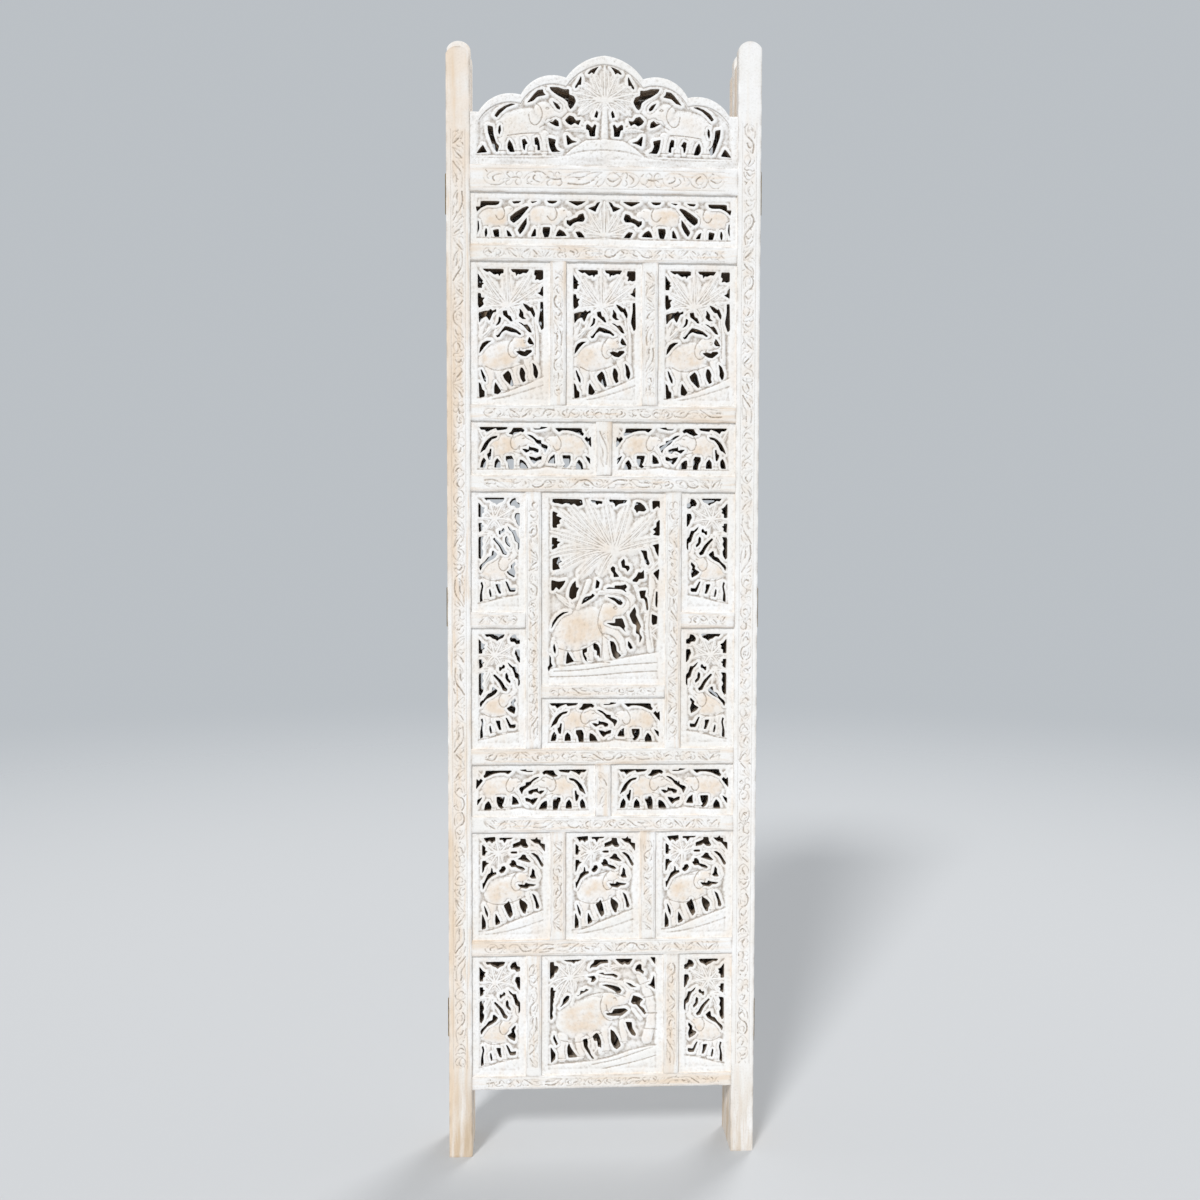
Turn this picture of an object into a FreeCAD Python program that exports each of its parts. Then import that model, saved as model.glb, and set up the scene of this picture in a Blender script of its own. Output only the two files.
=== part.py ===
import FreeCAD, Part
import os

# A folding screen of four carved and pierced wooden leaves, folded flat.
# Millimetres. X runs along a leaf, Y from the front leaf to the back one and Z up.
# The origin is on the floor under the middle of the folded stack.

Vec = FreeCAD.Vector
os.makedirs("parts", exist_ok=True)

# The leaves
leaf_count = 4
leaf_width = 508.0
leaf_height = 1829.0
leaf_thickness = 22.0
fold_gap = 2.0

# Posts and rails
post_width = 38.0
post_top_rise = 12.0
left_post_drop = 18.0
leg_height = 113.0
bottom_rail_height = 22.0
rail_height = 26.5
top_rail_height = 43.0
crown_height = 202.0
mullion_width = 26.0
side_rail_height = 26.0
centre_rail_height = 21.5

# Rows of panels, from the lowest up, as shares of the height that they have together
row_shares = {
    "bottom": 203,
    "flower": 180,
    "low_pair": 86,
    "main": 421,
    "high_pair": 87,
    "tall": 230,
    "frieze": 83,
}
# Places of the mullions in a row of three and a row with a wide middle,
# from the middle of the leaf, as a share of the width between the posts
three_mullion_share = 0.1725
wide_mullion_share = 0.265
# How the main row is divided: the lower panel's share of the height beside its short rail
side_split_share = 0.503
centre_split_share = 0.209

# Panels and the joints that hold them
panel_thickness = 12.0
panel_recess = 4.0
crest_height = 175.0
crest_shoulder_height = 83.0
crest_thickness = 16.0
tongue_thickness = 6.0
tongue_length = 6.0
groove_depth = 7.0
tenon_length = 20.0
tenon_thickness = 8.0
joint_clearance = 0.15

# Butt hinges on the edges of the posts
hinge_height_shares = (0.12, 0.5, 0.87)
plate_height = 64.0
plate_reach = 19.0
plate_thickness = 1.2
plate_relief = 0.4
neck_lap = 0.4
knuckle_count = 5
knuckle_gap = 0.3
knuckle_wall = 1.2
pin_radius = 1.25
pin_clearance = 0.05
pin_head_radius = 2.1
pin_head_height = 1.0
screw_place_shares = (0.16, 0.5, 0.84)
screw_radius = 1.5
screw_head_radius = 3.0
screw_length = 14.0
screw_clearance = 0.1
screw_slot_width = 0.6
screw_slot_depth = 0.5

# Sizes worked out from those above
half_width = leaf_width / 2
inner_half = half_width - post_width
half_thickness = leaf_thickness / 2
leaf_pitch = leaf_thickness + fold_gap
panel_front = panel_recess - half_thickness
joint_plane = panel_front + panel_thickness / 2
groove_width = tongue_thickness + 2 * joint_clearance
stub_length = groove_depth - joint_clearance
field_bottom = leg_height + bottom_rail_height
top_rail_bottom = leaf_height - crown_height - top_rail_height
crest_bottom = leaf_height - crown_height
rail_between = len(row_shares) - 1
field_height = top_rail_bottom - field_bottom - rail_between * rail_height
knuckle_radius = pin_radius + pin_clearance + knuckle_wall
plate_inner = knuckle_radius + plate_relief
hinge_x = half_width + knuckle_radius

# Pierced openings. Each drawing has its own grid, given as its width and height,
# and a point's shares of the panel are its place on that grid. The crest and the
# frieze are drawn from the middle to the left, and their right half is the mirror image.
crest_shares = {
    "grid": (216, 175),
    "holes": [
        [(-206, 17), (-188, 19), (-192, 26), (-195, 31), (-199, 27)],
        [(-188, 62), (-179, 60), (-178, 48), (-174, 35), (-169, 29), (-172, 19), (-178, 25), (-182, 36), (-187, 50)],
        [(-167, 63), (-166, 54), (-169, 46), (-171, 52), (-170, 60)],
        [(-177, 77), (-173, 74), (-166, 82), (-157, 90), (-142, 96), (-150, 97), (-160, 93), (-171, 86)],
        [(-125, 98), (-115, 101), (-108, 108), (-94, 111), (-98, 115), (-99, 120), (-107, 119), (-113, 113)],
        [(-89, 124), (-86, 118), (-76, 111), (-66, 106), (-60, 101), (-58, 93), (-55, 89), (-50, 94),
         (-46, 102), (-49, 110), (-57, 113), (-57, 121), (-66, 121), (-75, 124)],
        [(-84, 102), (-82, 98), (-77, 90), (-72, 88), (-71, 92), (-76, 98)],
        [(-91, 70), (-86, 66), (-78, 62), (-73, 62), (-74, 70), (-79, 74), (-84, 69)],
        [(-64, 72), (-60, 67), (-54, 64), (-48, 68), (-42, 64), (-38, 73), (-46, 72), (-50, 78), (-57, 80)],
        [(-28, 146), (-25, 145), (-21, 148), (-17, 145), (-15, 150), (-9, 158), (-17, 155), (-23, 152)],
        [(-48, 125), (-47, 122), (-44, 124), (-42, 128), (-38, 128), (-37, 138), (-38, 143), (-43, 133)],
        [(-13, 89), (-10, 85), (-12, 76), (-17, 78), (-15, 84)],
        [(-30, 65), (-30, 58), (-26, 57), (-24, 47), (-15, 47), (-15, 56), (-13, 65), (-16, 67), (-20, 61), (-27, 67)],
        [(-156, 33), (-153, 40), (-148, 33), (-144, 20), (-152, 20), (-156, 26)],
        [(-133, 40), (-128, 42), (-123, 34), (-127, 32), (-128, 22), (-131, 26)],
        [(-113, 43), (-108, 45), (-105, 38), (-103, 24), (-108, 23), (-108, 32), (-112, 32)],
        [(-91, 44), (-85, 43), (-78, 41), (-80, 33), (-76, 25), (-70, 22), (-85, 21), (-89, 30)],
        [(-62, 48), (-60, 49), (-53, 41), (-43, 38), (-52, 36), (-60, 32)],
    ],
}
frieze_shares = {
    "grid": (216, 83),
    "holes": [
        [(-207, 60), (-200, 60), (-199, 69), (-168, 69), (-170, 64), (-175, 62), (-189, 62), (-199, 57), (-205, 51)],
        [(-204, 38), (-202, 37), (-201, 25), (-205, 14), (-204, 25)],
        [(-193, 20), (-191, 26), (-189, 25), (-188, 18), (-190, 12), (-192, 12)],
        [(-180, 23), (-170, 25), (-169, 12), (-177, 12)],
        [(-158, 24), (-153, 21), (-148, 13), (-156, 13)],
        [(-149, 69), (-133, 70), (-138, 66), (-146, 65)],
        [(-152, 45), (-143, 52), (-132, 59), (-124, 62), (-121, 60), (-127, 53), (-135, 43), (-146, 34), (-152, 39)],
        [(-140, 23), (-135, 31), (-130, 38), (-125, 44), (-125, 34), (-129, 25), (-136, 16)],
        [(-120, 69), (-107, 70), (-111, 68), (-116, 66)],
        [(-119, 13), (-110, 14), (-110, 24), (-112, 27), (-115, 22)],
        [(-93, 71), (-75, 71), (-79, 67), (-84, 66), (-90, 67)],
        [(-99, 29), (-87, 29), (-88, 20), (-90, 13), (-97, 12), (-100, 22)],
        [(-79, 14), (-60, 15), (-65, 22), (-72, 26), (-76, 22)],
        [(-60, 71), (-29, 71), (-37, 66), (-44, 63), (-52, 67)],
        [(-61, 41), (-56, 40), (-49, 44), (-44, 45), (-41, 50), (-34, 52), (-31, 43), (-34, 38), (-44, 38),
         (-50, 35), (-55, 30), (-61, 35)],
        [(-27, 60), (-15, 64), (-12, 69), (-6, 71), (-12, 60), (-14, 54), (-21, 57)],
        [(-47, 22), (-40, 23), (-36, 20), (-31, 13), (-42, 13)],
    ],
}
tall_shares = {
    "grid": (129, 230),
    "holes": [
        [(19, 218), (54, 218), (54, 211), (49, 210), (47, 205), (45, 210), (39, 208), (31, 214), (28, 212), (24, 214)],
        [(65, 218), (96, 218), (91, 211), (86, 212), (80, 209), (77, 210), (74, 206), (73, 212), (68, 213)],
        [(104, 217), (118, 217), (118, 202), (112, 200), (109, 202), (104, 200), (106, 207), (103, 209)],
        [(12, 211), (17, 203), (21, 199), (19, 196), (23, 194), (19, 192), (19, 187), (12, 187)],
        [(12, 179), (17, 179), (18, 172), (24, 172), (20, 167), (22, 161), (18, 157), (14, 155), (12, 160)],
        [(118, 192), (118, 174), (113, 177), (108, 180), (113, 182), (114, 187)],
        [(113, 166), (118, 166), (119, 124), (115, 120), (110, 134), (113, 152)],
        [(13, 148), (24, 151), (29, 151), (33, 154), (36, 151), (42, 154), (42, 149), (37, 148), (31, 134), (26, 142),
         (19, 138), (14, 131)],
        [(40, 126), (45, 134), (46, 142), (50, 140), (49, 133), (46, 129)],
        [(52, 151), (59, 152), (61, 144), (65, 143), (69, 134), (65, 134), (61, 138), (57, 141), (53, 144)],
        [(76, 134), (83, 132), (87, 129), (92, 130), (96, 125), (100, 116), (95, 117), (91, 121), (86, 127)],
        [(79, 156), (83, 152), (86, 148), (86, 142), (91, 138), (84, 138), (79, 142), (78, 145), (80, 149)],
        [(84, 164), (92, 161), (97, 157), (101, 157), (105, 147), (104, 140), (100, 145), (97, 151), (93, 151), (88, 157)],
        [(41, 112), (44, 112), (49, 118), (56, 127), (65, 125), (75, 121), (83, 114), (80, 112), (74, 116), (65, 117),
         (57, 120), (51, 116), (47, 109), (43, 108)],
        [(95, 110), (98, 107), (104, 97), (95, 98), (92, 102)],
        [(14, 82), (15, 91), (19, 99), (26, 103), (35, 103), (29, 99), (23, 93), (17, 85)],
        [(73, 86), (81, 88), (88, 86), (90, 89), (99, 89), (100, 86), (95, 82), (90, 78), (83, 79), (78, 82)],
        [(16, 57), (18, 48), (22, 38), (25, 36), (25, 43), (21, 51), (18, 57)],
        [(13, 37), (14, 11), (23, 13), (23, 22), (19, 25), (17, 33)],
        [(40, 37), (43, 33), (50, 22), (45, 17), (38, 18), (38, 28)],
        [(52, 48), (61, 56), (65, 51), (70, 32), (67, 29), (62, 34), (55, 41)],
        [(81, 61), (85, 60), (89, 52), (88, 44), (90, 39), (85, 36), (81, 43), (79, 51)],
        [(100, 69), (106, 64), (110, 53), (109, 46), (106, 42), (102, 49), (102, 58)],
    ],
}
pair_shares = {
    "grid": (204, 87),
    "holes": [
        [(13, 78), (61, 78), (58, 74), (43, 72), (41, 76), (31, 72), (26, 68), (23, 73), (17, 73)],
        [(61, 67), (66, 71), (69, 77), (83, 77), (88, 73), (85, 69), (81, 71), (76, 68), (69, 65)],
        [(101, 76), (113, 76), (114, 79), (126, 78), (121, 76), (112, 74), (104, 74)],
        [(136, 77), (181, 77), (182, 71), (185, 68), (183, 64), (176, 67), (168, 71), (158, 73), (149, 73), (144, 70)],
        [(185, 60), (189, 64), (192, 60), (196, 64), (197, 45), (192, 51)],
        [(15, 35), (18, 44), (23, 53), (30, 60), (36, 63), (44, 64), (42, 60), (35, 58), (29, 51), (25, 42), (20, 39)],
        [(91, 66), (96, 66), (101, 64), (108, 58), (115, 57), (115, 52), (124, 49), (126, 46), (121, 36), (119, 43),
         (113, 48), (107, 52), (103, 58), (97, 62)],
        [(26, 34), (30, 37), (31, 43), (34, 43), (33, 30), (32, 24), (29, 25)],
        [(83, 43), (90, 43), (94, 41), (95, 48), (97, 46), (104, 45), (111, 42), (110, 37), (105, 36), (102, 40),
         (97, 40), (90, 36), (86, 40)],
        [(94, 31), (101, 30), (106, 28), (112, 31), (116, 31), (115, 25), (108, 23), (103, 18), (98, 24)],
        [(15, 12), (17, 22), (21, 29), (25, 24), (25, 17), (23, 12)],
        [(38, 12), (39, 22), (43, 28), (48, 22), (49, 12)],
        [(57, 31), (67, 32), (70, 25), (70, 10), (62, 10), (60, 20), (57, 25)],
        [(80, 11), (79, 20), (80, 26), (84, 25), (89, 21), (94, 11)],
        [(126, 22), (130, 30), (137, 35), (137, 27), (138, 19), (126, 20)],
        [(149, 33), (163, 33), (163, 24), (160, 16), (155, 12), (150, 15), (154, 18), (151, 23)],
        [(172, 10), (171, 17), (175, 25), (177, 26), (182, 20), (184, 10)],
        [(186, 33), (195, 28), (195, 18), (190, 25)],
    ],
}
side_shares = {
    "grid": (88, 197),
    "holes": [
        [(21, 187), (55, 187), (52, 181), (45, 178), (42, 175), (39, 178), (35, 179), (30, 183), (25, 182)],
        [(62, 179), (66, 185), (72, 187), (74, 180), (79, 178), (79, 171), (73, 170), (70, 174), (64, 174)],
        [(12, 180), (18, 172), (23, 170), (20, 167), (22, 163), (18, 161), (18, 155), (12, 155)],
        [(72, 162), (79, 162), (79, 139), (74, 145), (73, 150), (70, 155)],
        [(12, 146), (18, 146), (18, 142), (22, 141), (18, 138), (19, 134), (13, 130)],
        [(12, 123), (21, 124), (18, 117), (20, 111), (17, 105), (20, 100), (19, 93), (15, 86), (12, 89)],
        [(58, 142), (64, 137), (67, 134), (72, 134), (75, 124), (79, 120), (79, 105), (76, 101), (76, 113), (71, 116),
         (69, 124), (66, 131), (62, 134)],
        [(45, 134), (49, 133), (52, 138), (55, 135), (54, 131), (50, 130), (47, 126), (45, 128)],
        [(35, 120), (38, 122), (46, 114), (50, 110), (55, 101), (59, 97), (57, 93), (51, 95), (48, 102), (44, 109),
         (39, 115)],
        [(55, 122), (58, 125), (60, 120), (60, 115), (64, 110), (63, 106), (58, 110), (55, 115)],
        [(13, 73), (15, 77), (22, 83), (27, 90), (33, 92), (34, 100), (36, 101), (43, 95), (39, 89), (33, 85),
         (25, 81), (18, 73), (15, 67)],
        [(57, 66), (65, 71), (64, 76), (71, 83), (72, 78), (69, 74), (72, 65), (70, 56), (61, 61)],
        [(15, 48), (18, 50), (20, 42), (18, 32), (19, 18), (14, 16), (14, 28), (17, 42)],
        [(29, 37), (31, 38), (33, 30), (33, 25), (31, 24), (29, 31)],
        [(39, 46), (47, 46), (47, 38), (49, 30), (45, 30), (42, 37)],
        [(55, 51), (58, 50), (61, 45), (64, 39), (72, 40), (72, 35), (70, 33), (62, 33), (59, 40)],
    ],
}
centre_shares = {
    "grid": (203, 317),
    "holes": [
        [(18, 306), (66, 305), (68, 296), (59, 293), (53, 298), (49, 295), (40, 299), (34, 296), (28, 298), (18, 299)],
        [(80, 304), (100, 302), (99, 297), (94, 298), (91, 295), (88, 299), (83, 299)],
        [(110, 305), (141, 304), (137, 299), (126, 297), (121, 292), (119, 299), (112, 300)],
        [(151, 290), (155, 301), (162, 300), (168, 295), (172, 288), (168, 285), (159, 286), (156, 282), (154, 287)],
        [(181, 303), (194, 303), (194, 290), (190, 294), (187, 291), (182, 288)],
        [(18, 286), (27, 282), (24, 278), (34, 274), (29, 270), (31, 265), (25, 263), (26, 258), (18, 258)],
        [(17, 243), (27, 241), (25, 237), (32, 235), (26, 231), (26, 226), (17, 222)],
        [(18, 208), (30, 211), (30, 206), (34, 203), (28, 200), (28, 196), (31, 191), (18, 188)],
        [(16, 173), (28, 170), (40, 172), (36, 164), (29, 156), (24, 161), (20, 155), (16, 155)],
        [(56, 172), (57, 161), (62, 160), (58, 152), (57, 144), (50, 140), (45, 145), (46, 157), (50, 166)],
        [(90, 174), (96, 169), (94, 160), (88, 158), (89, 166)],
        [(65, 132), (68, 141), (72, 145), (81, 147), (84, 151), (88, 147), (82, 142), (74, 137)],
        [(16, 91), (18, 103), (25, 113), (35, 120), (48, 121), (37, 117), (28, 110), (21, 100)],
        [(113, 192), (117, 196), (121, 193), (121, 187), (128, 178), (118, 177), (118, 183), (114, 188)],
        [(130, 203), (135, 208), (137, 204), (137, 197), (144, 196), (145, 191), (141, 186), (138, 192), (132, 193)],
        [(162, 222), (173, 221), (174, 209), (178, 200), (175, 196), (171, 200), (166, 216)],
        [(149, 173), (155, 178), (159, 186), (164, 185), (168, 190), (169, 175), (160, 174), (157, 169), (150, 170)],
        [(105, 158), (110, 161), (120, 160), (120, 164), (132, 164), (138, 166), (141, 161), (137, 157), (141, 151),
         (132, 157), (118, 158)],
        [(107, 145), (120, 144), (130, 140), (134, 135), (131, 131), (126, 132), (120, 138)],
        [(194, 273), (194, 245), (182, 247), (187, 252), (182, 256), (188, 260), (188, 267)],
        [(193, 233), (192, 210), (187, 220), (185, 227), (181, 230)],
        [(194, 192), (192, 171), (188, 177), (183, 184)],
        [(160, 155), (172, 156), (170, 146), (174, 142), (176, 125), (173, 121), (170, 139), (168, 142), (163, 142)],
        [(188, 154), (191, 154), (191, 136), (190, 126), (187, 131), (187, 142)],
        [(181, 117), (191, 113), (190, 100), (183, 98), (181, 103)],
        [(153, 129), (156, 121), (155, 115), (159, 107), (164, 96), (161, 90), (162, 84), (166, 78), (161, 67),
         (161, 82), (155, 85), (156, 98), (150, 101), (144, 115)],
        [(105, 102), (121, 102), (121, 109), (133, 110), (138, 96), (136, 92), (140, 85), (129, 96), (117, 97)],
        [(21, 69), (24, 58), (23, 50), (20, 55), (19, 63)],
        [(13, 50), (16, 45), (16, 36), (19, 31), (15, 28), (12, 21), (10, 29), (13, 33)],
        [(43, 56), (48, 47), (54, 38), (47, 36), (40, 34), (41, 47)],
        [(67, 58), (75, 61), (75, 54), (70, 52), (75, 43), (74, 41), (77, 36), (72, 40), (68, 48)],
        [(84, 67), (88, 69), (93, 66), (96, 60), (97, 42), (94, 48), (91, 48), (91, 56), (86, 58)],
        [(112, 73), (119, 71), (123, 64), (124, 55), (132, 48), (123, 42), (118, 46), (115, 55)],
        [(142, 73), (146, 69), (151, 60), (146, 58), (142, 64)],
    ],
}
flower_shares = {
    "grid": (129, 180),
    "holes": [
        [(19, 171), (39, 173), (39, 165), (35, 164), (34, 161), (30, 165), (27, 165), (25, 162), (22, 166)],
        [(45, 171), (69, 171), (64, 168), (58, 168), (54, 161), (51, 167), (46, 167)],
        [(17, 160), (23, 155), (22, 150), (27, 148), (23, 146), (22, 141), (17, 141)],
        [(17, 133), (23, 133), (24, 130), (29, 129), (24, 125), (21, 121), (20, 116), (17, 111)],
        [(65, 153), (68, 155), (67, 160), (80, 165), (80, 169), (89, 169), (90, 162), (94, 156), (91, 153), (85, 154),
         (81, 158), (77, 155)],
        [(96, 168), (104, 168), (108, 172), (109, 168), (114, 167), (114, 161), (121, 160), (121, 146), (117, 152),
         (110, 160), (104, 161)],
        [(63, 146), (66, 148), (75, 148), (75, 144), (66, 144)],
        [(75, 135), (80, 138), (84, 143), (89, 142), (90, 138), (98, 130), (94, 129), (84, 132)],
        [(61, 127), (65, 129), (65, 133), (69, 134), (73, 130), (74, 125), (84, 122), (89, 118), (86, 116), (78, 118),
         (72, 122), (66, 121)],
        [(97, 145), (103, 145), (110, 140), (115, 131), (119, 125), (117, 121), (114, 123), (110, 131), (106, 137)],
        [(45, 117), (48, 119), (49, 123), (54, 124), (57, 119), (53, 113), (49, 111), (45, 114)],
        [(17, 97), (19, 95), (22, 101), (26, 110), (31, 113), (32, 121), (34, 120), (35, 113), (40, 114), (41, 110),
         (33, 106), (26, 100), (18, 83)],
        [(100, 120), (104, 115), (104, 109), (107, 102), (99, 102), (95, 105), (98, 109)],
        [(75, 93), (87, 92), (89, 96), (93, 94), (107, 92), (102, 89), (96, 89), (91, 85), (80, 87)],
        [(99, 78), (105, 74), (108, 66), (112, 55), (110, 51), (106, 52), (105, 61)],
        [(19, 60), (23, 54), (27, 44), (26, 37), (22, 45)],
        [(17, 45), (23, 30), (23, 19), (16, 17), (16, 33)],
        [(39, 45), (43, 38), (47, 30), (46, 27), (39, 24), (38, 33)],
        [(52, 58), (57, 61), (61, 66), (65, 56), (68, 42), (63, 36), (59, 42)],
        [(79, 69), (88, 63), (92, 58), (92, 53), (90, 51), (89, 43), (85, 44), (80, 53), (78, 62)],
    ],
}
bottom_shares = {
    "grid": (203, 203),
    "holes": [
        [(14, 191), (21, 191), (21, 185), (27, 184), (29, 181), (26, 173), (22, 172), (21, 166), (14, 161)],
        [(36, 194), (69, 195), (61, 191), (57, 191), (54, 187), (51, 190), (42, 191)],
        [(88, 194), (110, 194), (112, 188), (100, 187), (96, 185), (92, 181), (84, 181), (80, 178), (82, 185), (87, 189)],
        [(122, 195), (153, 195), (149, 189), (147, 185), (143, 184), (139, 187), (135, 184), (130, 187)],
        [(181, 197), (190, 197), (190, 184), (186, 189)],
        [(15, 148), (20, 148), (20, 143), (25, 142), (22, 139), (22, 131), (20, 128), (21, 124), (19, 119), (20, 110),
         (18, 104), (20, 97), (16, 92), (14, 97)],
        [(30, 113), (35, 120), (36, 127), (42, 134), (47, 133), (46, 127), (41, 121)],
        [(58, 133), (64, 135), (65, 142), (71, 141), (74, 145), (80, 143), (67, 136), (61, 132)],
        [(75, 165), (88, 167), (92, 161), (87, 156), (82, 156), (84, 162)],
        [(94, 171), (103, 172), (105, 169), (120, 170), (128, 166), (125, 162), (118, 166), (105, 167)],
        [(100, 151), (108, 152), (120, 150), (129, 147), (134, 141), (131, 136), (126, 136), (121, 141), (110, 147)],
        [(140, 155), (148, 153), (155, 148), (161, 146), (150, 146)],
        [(156, 177), (159, 183), (164, 186), (167, 184), (167, 176), (171, 173), (170, 168), (163, 173), (158, 173)],
        [(188, 168), (190, 142), (183, 147), (177, 150), (182, 152), (184, 157)],
        [(153, 133), (164, 129), (170, 125), (165, 120), (164, 115), (171, 110), (175, 102), (172, 99), (168, 105),
         (158, 117), (153, 117), (149, 121)],
        [(107, 103), (117, 103), (121, 110), (139, 111), (145, 107), (134, 98), (120, 98), (110, 99)],
        [(21, 69), (24, 61), (28, 52), (25, 49), (19, 62)],
        [(15, 48), (24, 35), (23, 26), (16, 19)],
        [(46, 54), (49, 46), (55, 37), (61, 29), (45, 28), (43, 37), (43, 46)],
        [(69, 59), (76, 61), (78, 54), (77, 47), (81, 40), (83, 33), (89, 26), (85, 25), (71, 46)],
        [(85, 64), (90, 69), (93, 70), (97, 64), (100, 55), (100, 36), (99, 45), (94, 46), (93, 56), (88, 56)],
        [(115, 76), (121, 72), (128, 61), (133, 47), (126, 41), (121, 44), (116, 54)],
        [(140, 88), (151, 87), (152, 77), (158, 67), (157, 63), (151, 65), (145, 74)],
    ],
}
# The crest's upper edge, left half: pairs of arcs' ends and middles from the apex outwards
crest_lobe_shares = [
    [(0, 175), (-36, 163.5), (-62, 139)],
    [(-62, 139), (-107, 137.5), (-134.5, 111)],
    [(-134.5, 111), (-173, 108.5), (-202, 83)],
]


def box(x, y, z):
    """A block between its lowest and highest place along each axis."""
    return Part.makeBox(x[1] - x[0], y[1] - y[0], z[1] - z[0], Vec(x[0], y[0], z[0]))


def about(middle, width):
    """The lowest and highest place of something this wide about its middle."""
    return (middle - width / 2, middle + width / 2)


def closed_wire(points):
    """A closed outline of straight edges in the XZ plane."""
    corners = [Vec(x, 0, z) for x, z in points]
    return Part.makePolygon(corners + corners[:1])


def slab(wires, thickness):
    """A board of this thickness about the joint plane, from an outline and its openings."""
    face = Part.makeFace(wires, "Part::FaceMakerBullseye")
    solid = face.extrude(Vec(0, thickness, 0))
    solid.translate(Vec(0, joint_plane - thickness / 2, 0))
    return solid.Solids[0] if solid.Solids else solid


def openings(drawing_shares, width, height, mirrored=False):
    """Outlines of a drawing's openings, scaled to a panel. A drawing of half the width is mirrored."""
    grid_width, grid_height = drawing_shares["grid"]
    wires = []
    for hole in drawing_shares["holes"]:
        points = [(x / grid_width * width, z / grid_height * height) for x, z in hole]
        wires.append(closed_wire(points))
        if mirrored:
            wires.append(closed_wire([(-x, z) for x, z in points]))
    return wires


def rectangle(x, z):
    return [(x[0], z[0]), (x[1], z[0]), (x[1], z[1]), (x[0], z[1])]


def panel(drawing_shares, width, height, mirrored=False):
    """A pierced panel with a tongue all round. Its lower left visible corner is at zero,
    or for a mirrored drawing the middle of its lower edge."""
    left = -width / 2 if mirrored else 0
    x = (left + joint_clearance, left + width - joint_clearance)
    z = (joint_clearance, height - joint_clearance)
    half = width / 2 if mirrored else width
    wires = [closed_wire(rectangle(x, z))] + openings(drawing_shares, half, height, mirrored)
    board = slab(wires, panel_thickness)
    lap = tongue_thickness
    outer = rectangle((left - tongue_length, left + width + tongue_length), (-tongue_length, height + tongue_length))
    inner = rectangle((x[0] + lap, x[1] - lap), (z[0] + lap, z[1] - lap))
    return board.fuse(slab([closed_wire(outer), closed_wire(inner)], tongue_thickness)).removeSplitter()


def crest_board():
    """The lobed board at the top. It stands on the top rail, between the posts."""
    grid_height = crest_shares["grid"][1]
    grid_half = crest_shares["grid"][0]

    def place(point, side=1):
        return Vec(side * point[0] / grid_half * inner_half, 0, point[1] / grid_height * crest_height)

    reach = inner_half - joint_clearance
    left_arcs = [Part.Arc(*[place(p) for p in lobe]).toShape() for lobe in crest_lobe_shares]
    right_arcs = [Part.Arc(*[place(p, -1) for p in reversed(lobe)]).toShape() for lobe in reversed(crest_lobe_shares)]
    shoulder = place(crest_lobe_shares[-1][-1])
    corners = [
        shoulder,
        Vec(-reach, 0, shoulder.z),
        Vec(-reach, 0, 0),
        Vec(reach, 0, 0),
        Vec(reach, 0, shoulder.z),
        Vec(-shoulder.x, 0, shoulder.z),
    ]
    lines = [Part.makeLine(a, b) for a, b in zip(corners, corners[1:])]
    outline = Part.Wire(left_arcs + lines + right_arcs)
    holes = openings(crest_shares, inner_half, crest_height, mirrored=True)
    board = slab([outline] + holes, crest_thickness)
    lap = tongue_thickness
    reach = inner_half + tongue_length
    inner = inner_half - lap
    top = crest_shoulder_height - tongue_length
    tongue = closed_wire([(-reach, -tongue_length), (reach, -tongue_length), (reach, top), (inner, top), (inner, lap),
                          (-inner, lap), (-inner, top), (-reach, top)])
    whole = board.fuse(slab([tongue], tongue_thickness)).removeSplitter()
    return moved(whole, 0, crest_bottom)


def moved(shape, x, z):
    copy = shape.copy()
    copy.translate(Vec(x, 0, z))
    return copy


def flipped(shape, x):
    """The mirror image in x, with its right edge at this place."""
    copy = shape.mirror(Vec(0, 0, 0), Vec(1, 0, 0))
    copy.translate(Vec(x, 0, 0))
    return copy


def rows():
    """Each row's lowest and highest place."""
    unit = field_height / sum(row_shares.values())
    found = {}
    low = field_bottom
    for name, share in row_shares.items():
        found[name] = (low, low + share * unit)
        low = found[name][1] + rail_height
    return found


ROWS = rows()


def groove(x, z):
    """What a groove takes away, about the joint plane."""
    return box(x, about(joint_plane, groove_width), z)


def rail(x, z, grooves_at, tenon, thickness):
    """A horizontal member between two places, with a tenon at each end and its grooves."""
    body = box(x, (-half_thickness, half_thickness), z)
    tenon_z = (z[0] + groove_depth, z[1] - groove_depth)
    body = body.fuse(box((x[0] - tenon, x[1] + tenon), about(joint_plane, thickness), tenon_z))
    cuts = []
    if "top" in grooves_at:
        cuts.append(groove(x, (z[1] - groove_depth, z[1])))
    if "bottom" in grooves_at:
        cuts.append(groove(x, (z[0], z[0] + groove_depth)))
    return body.cut(cuts).removeSplitter()


def full_rail_places():
    """Each full rail's name, height range and grooves, from the lowest up."""
    places = [((leg_height, field_bottom), "top")]
    tops = [high for low, high in ROWS.values()][:-1]
    places += [((top, top + rail_height), "top bottom") for top in tops]
    places.append(((top_rail_bottom, crest_bottom), "top bottom"))
    return places


def mullion(middle, z):
    """An upright member between two rails, with grooves for panels on both edges."""
    x = about(middle, mullion_width)
    body = box(x, (-half_thickness, half_thickness), z)
    stub = mullion_width - 2 * groove_depth
    body = body.fuse(box(about(middle, stub), about(joint_plane, tongue_thickness), (z[0] - stub_length, z[1] + stub_length)))
    cuts = [groove((x[0], x[0] + groove_depth), z), groove((x[1] - groove_depth, x[1]), z)]
    return body.cut(cuts).removeSplitter()


inner_width = 2 * inner_half
three_x = three_mullion_share * inner_width
wide_x = wide_mullion_share * inner_width


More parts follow.
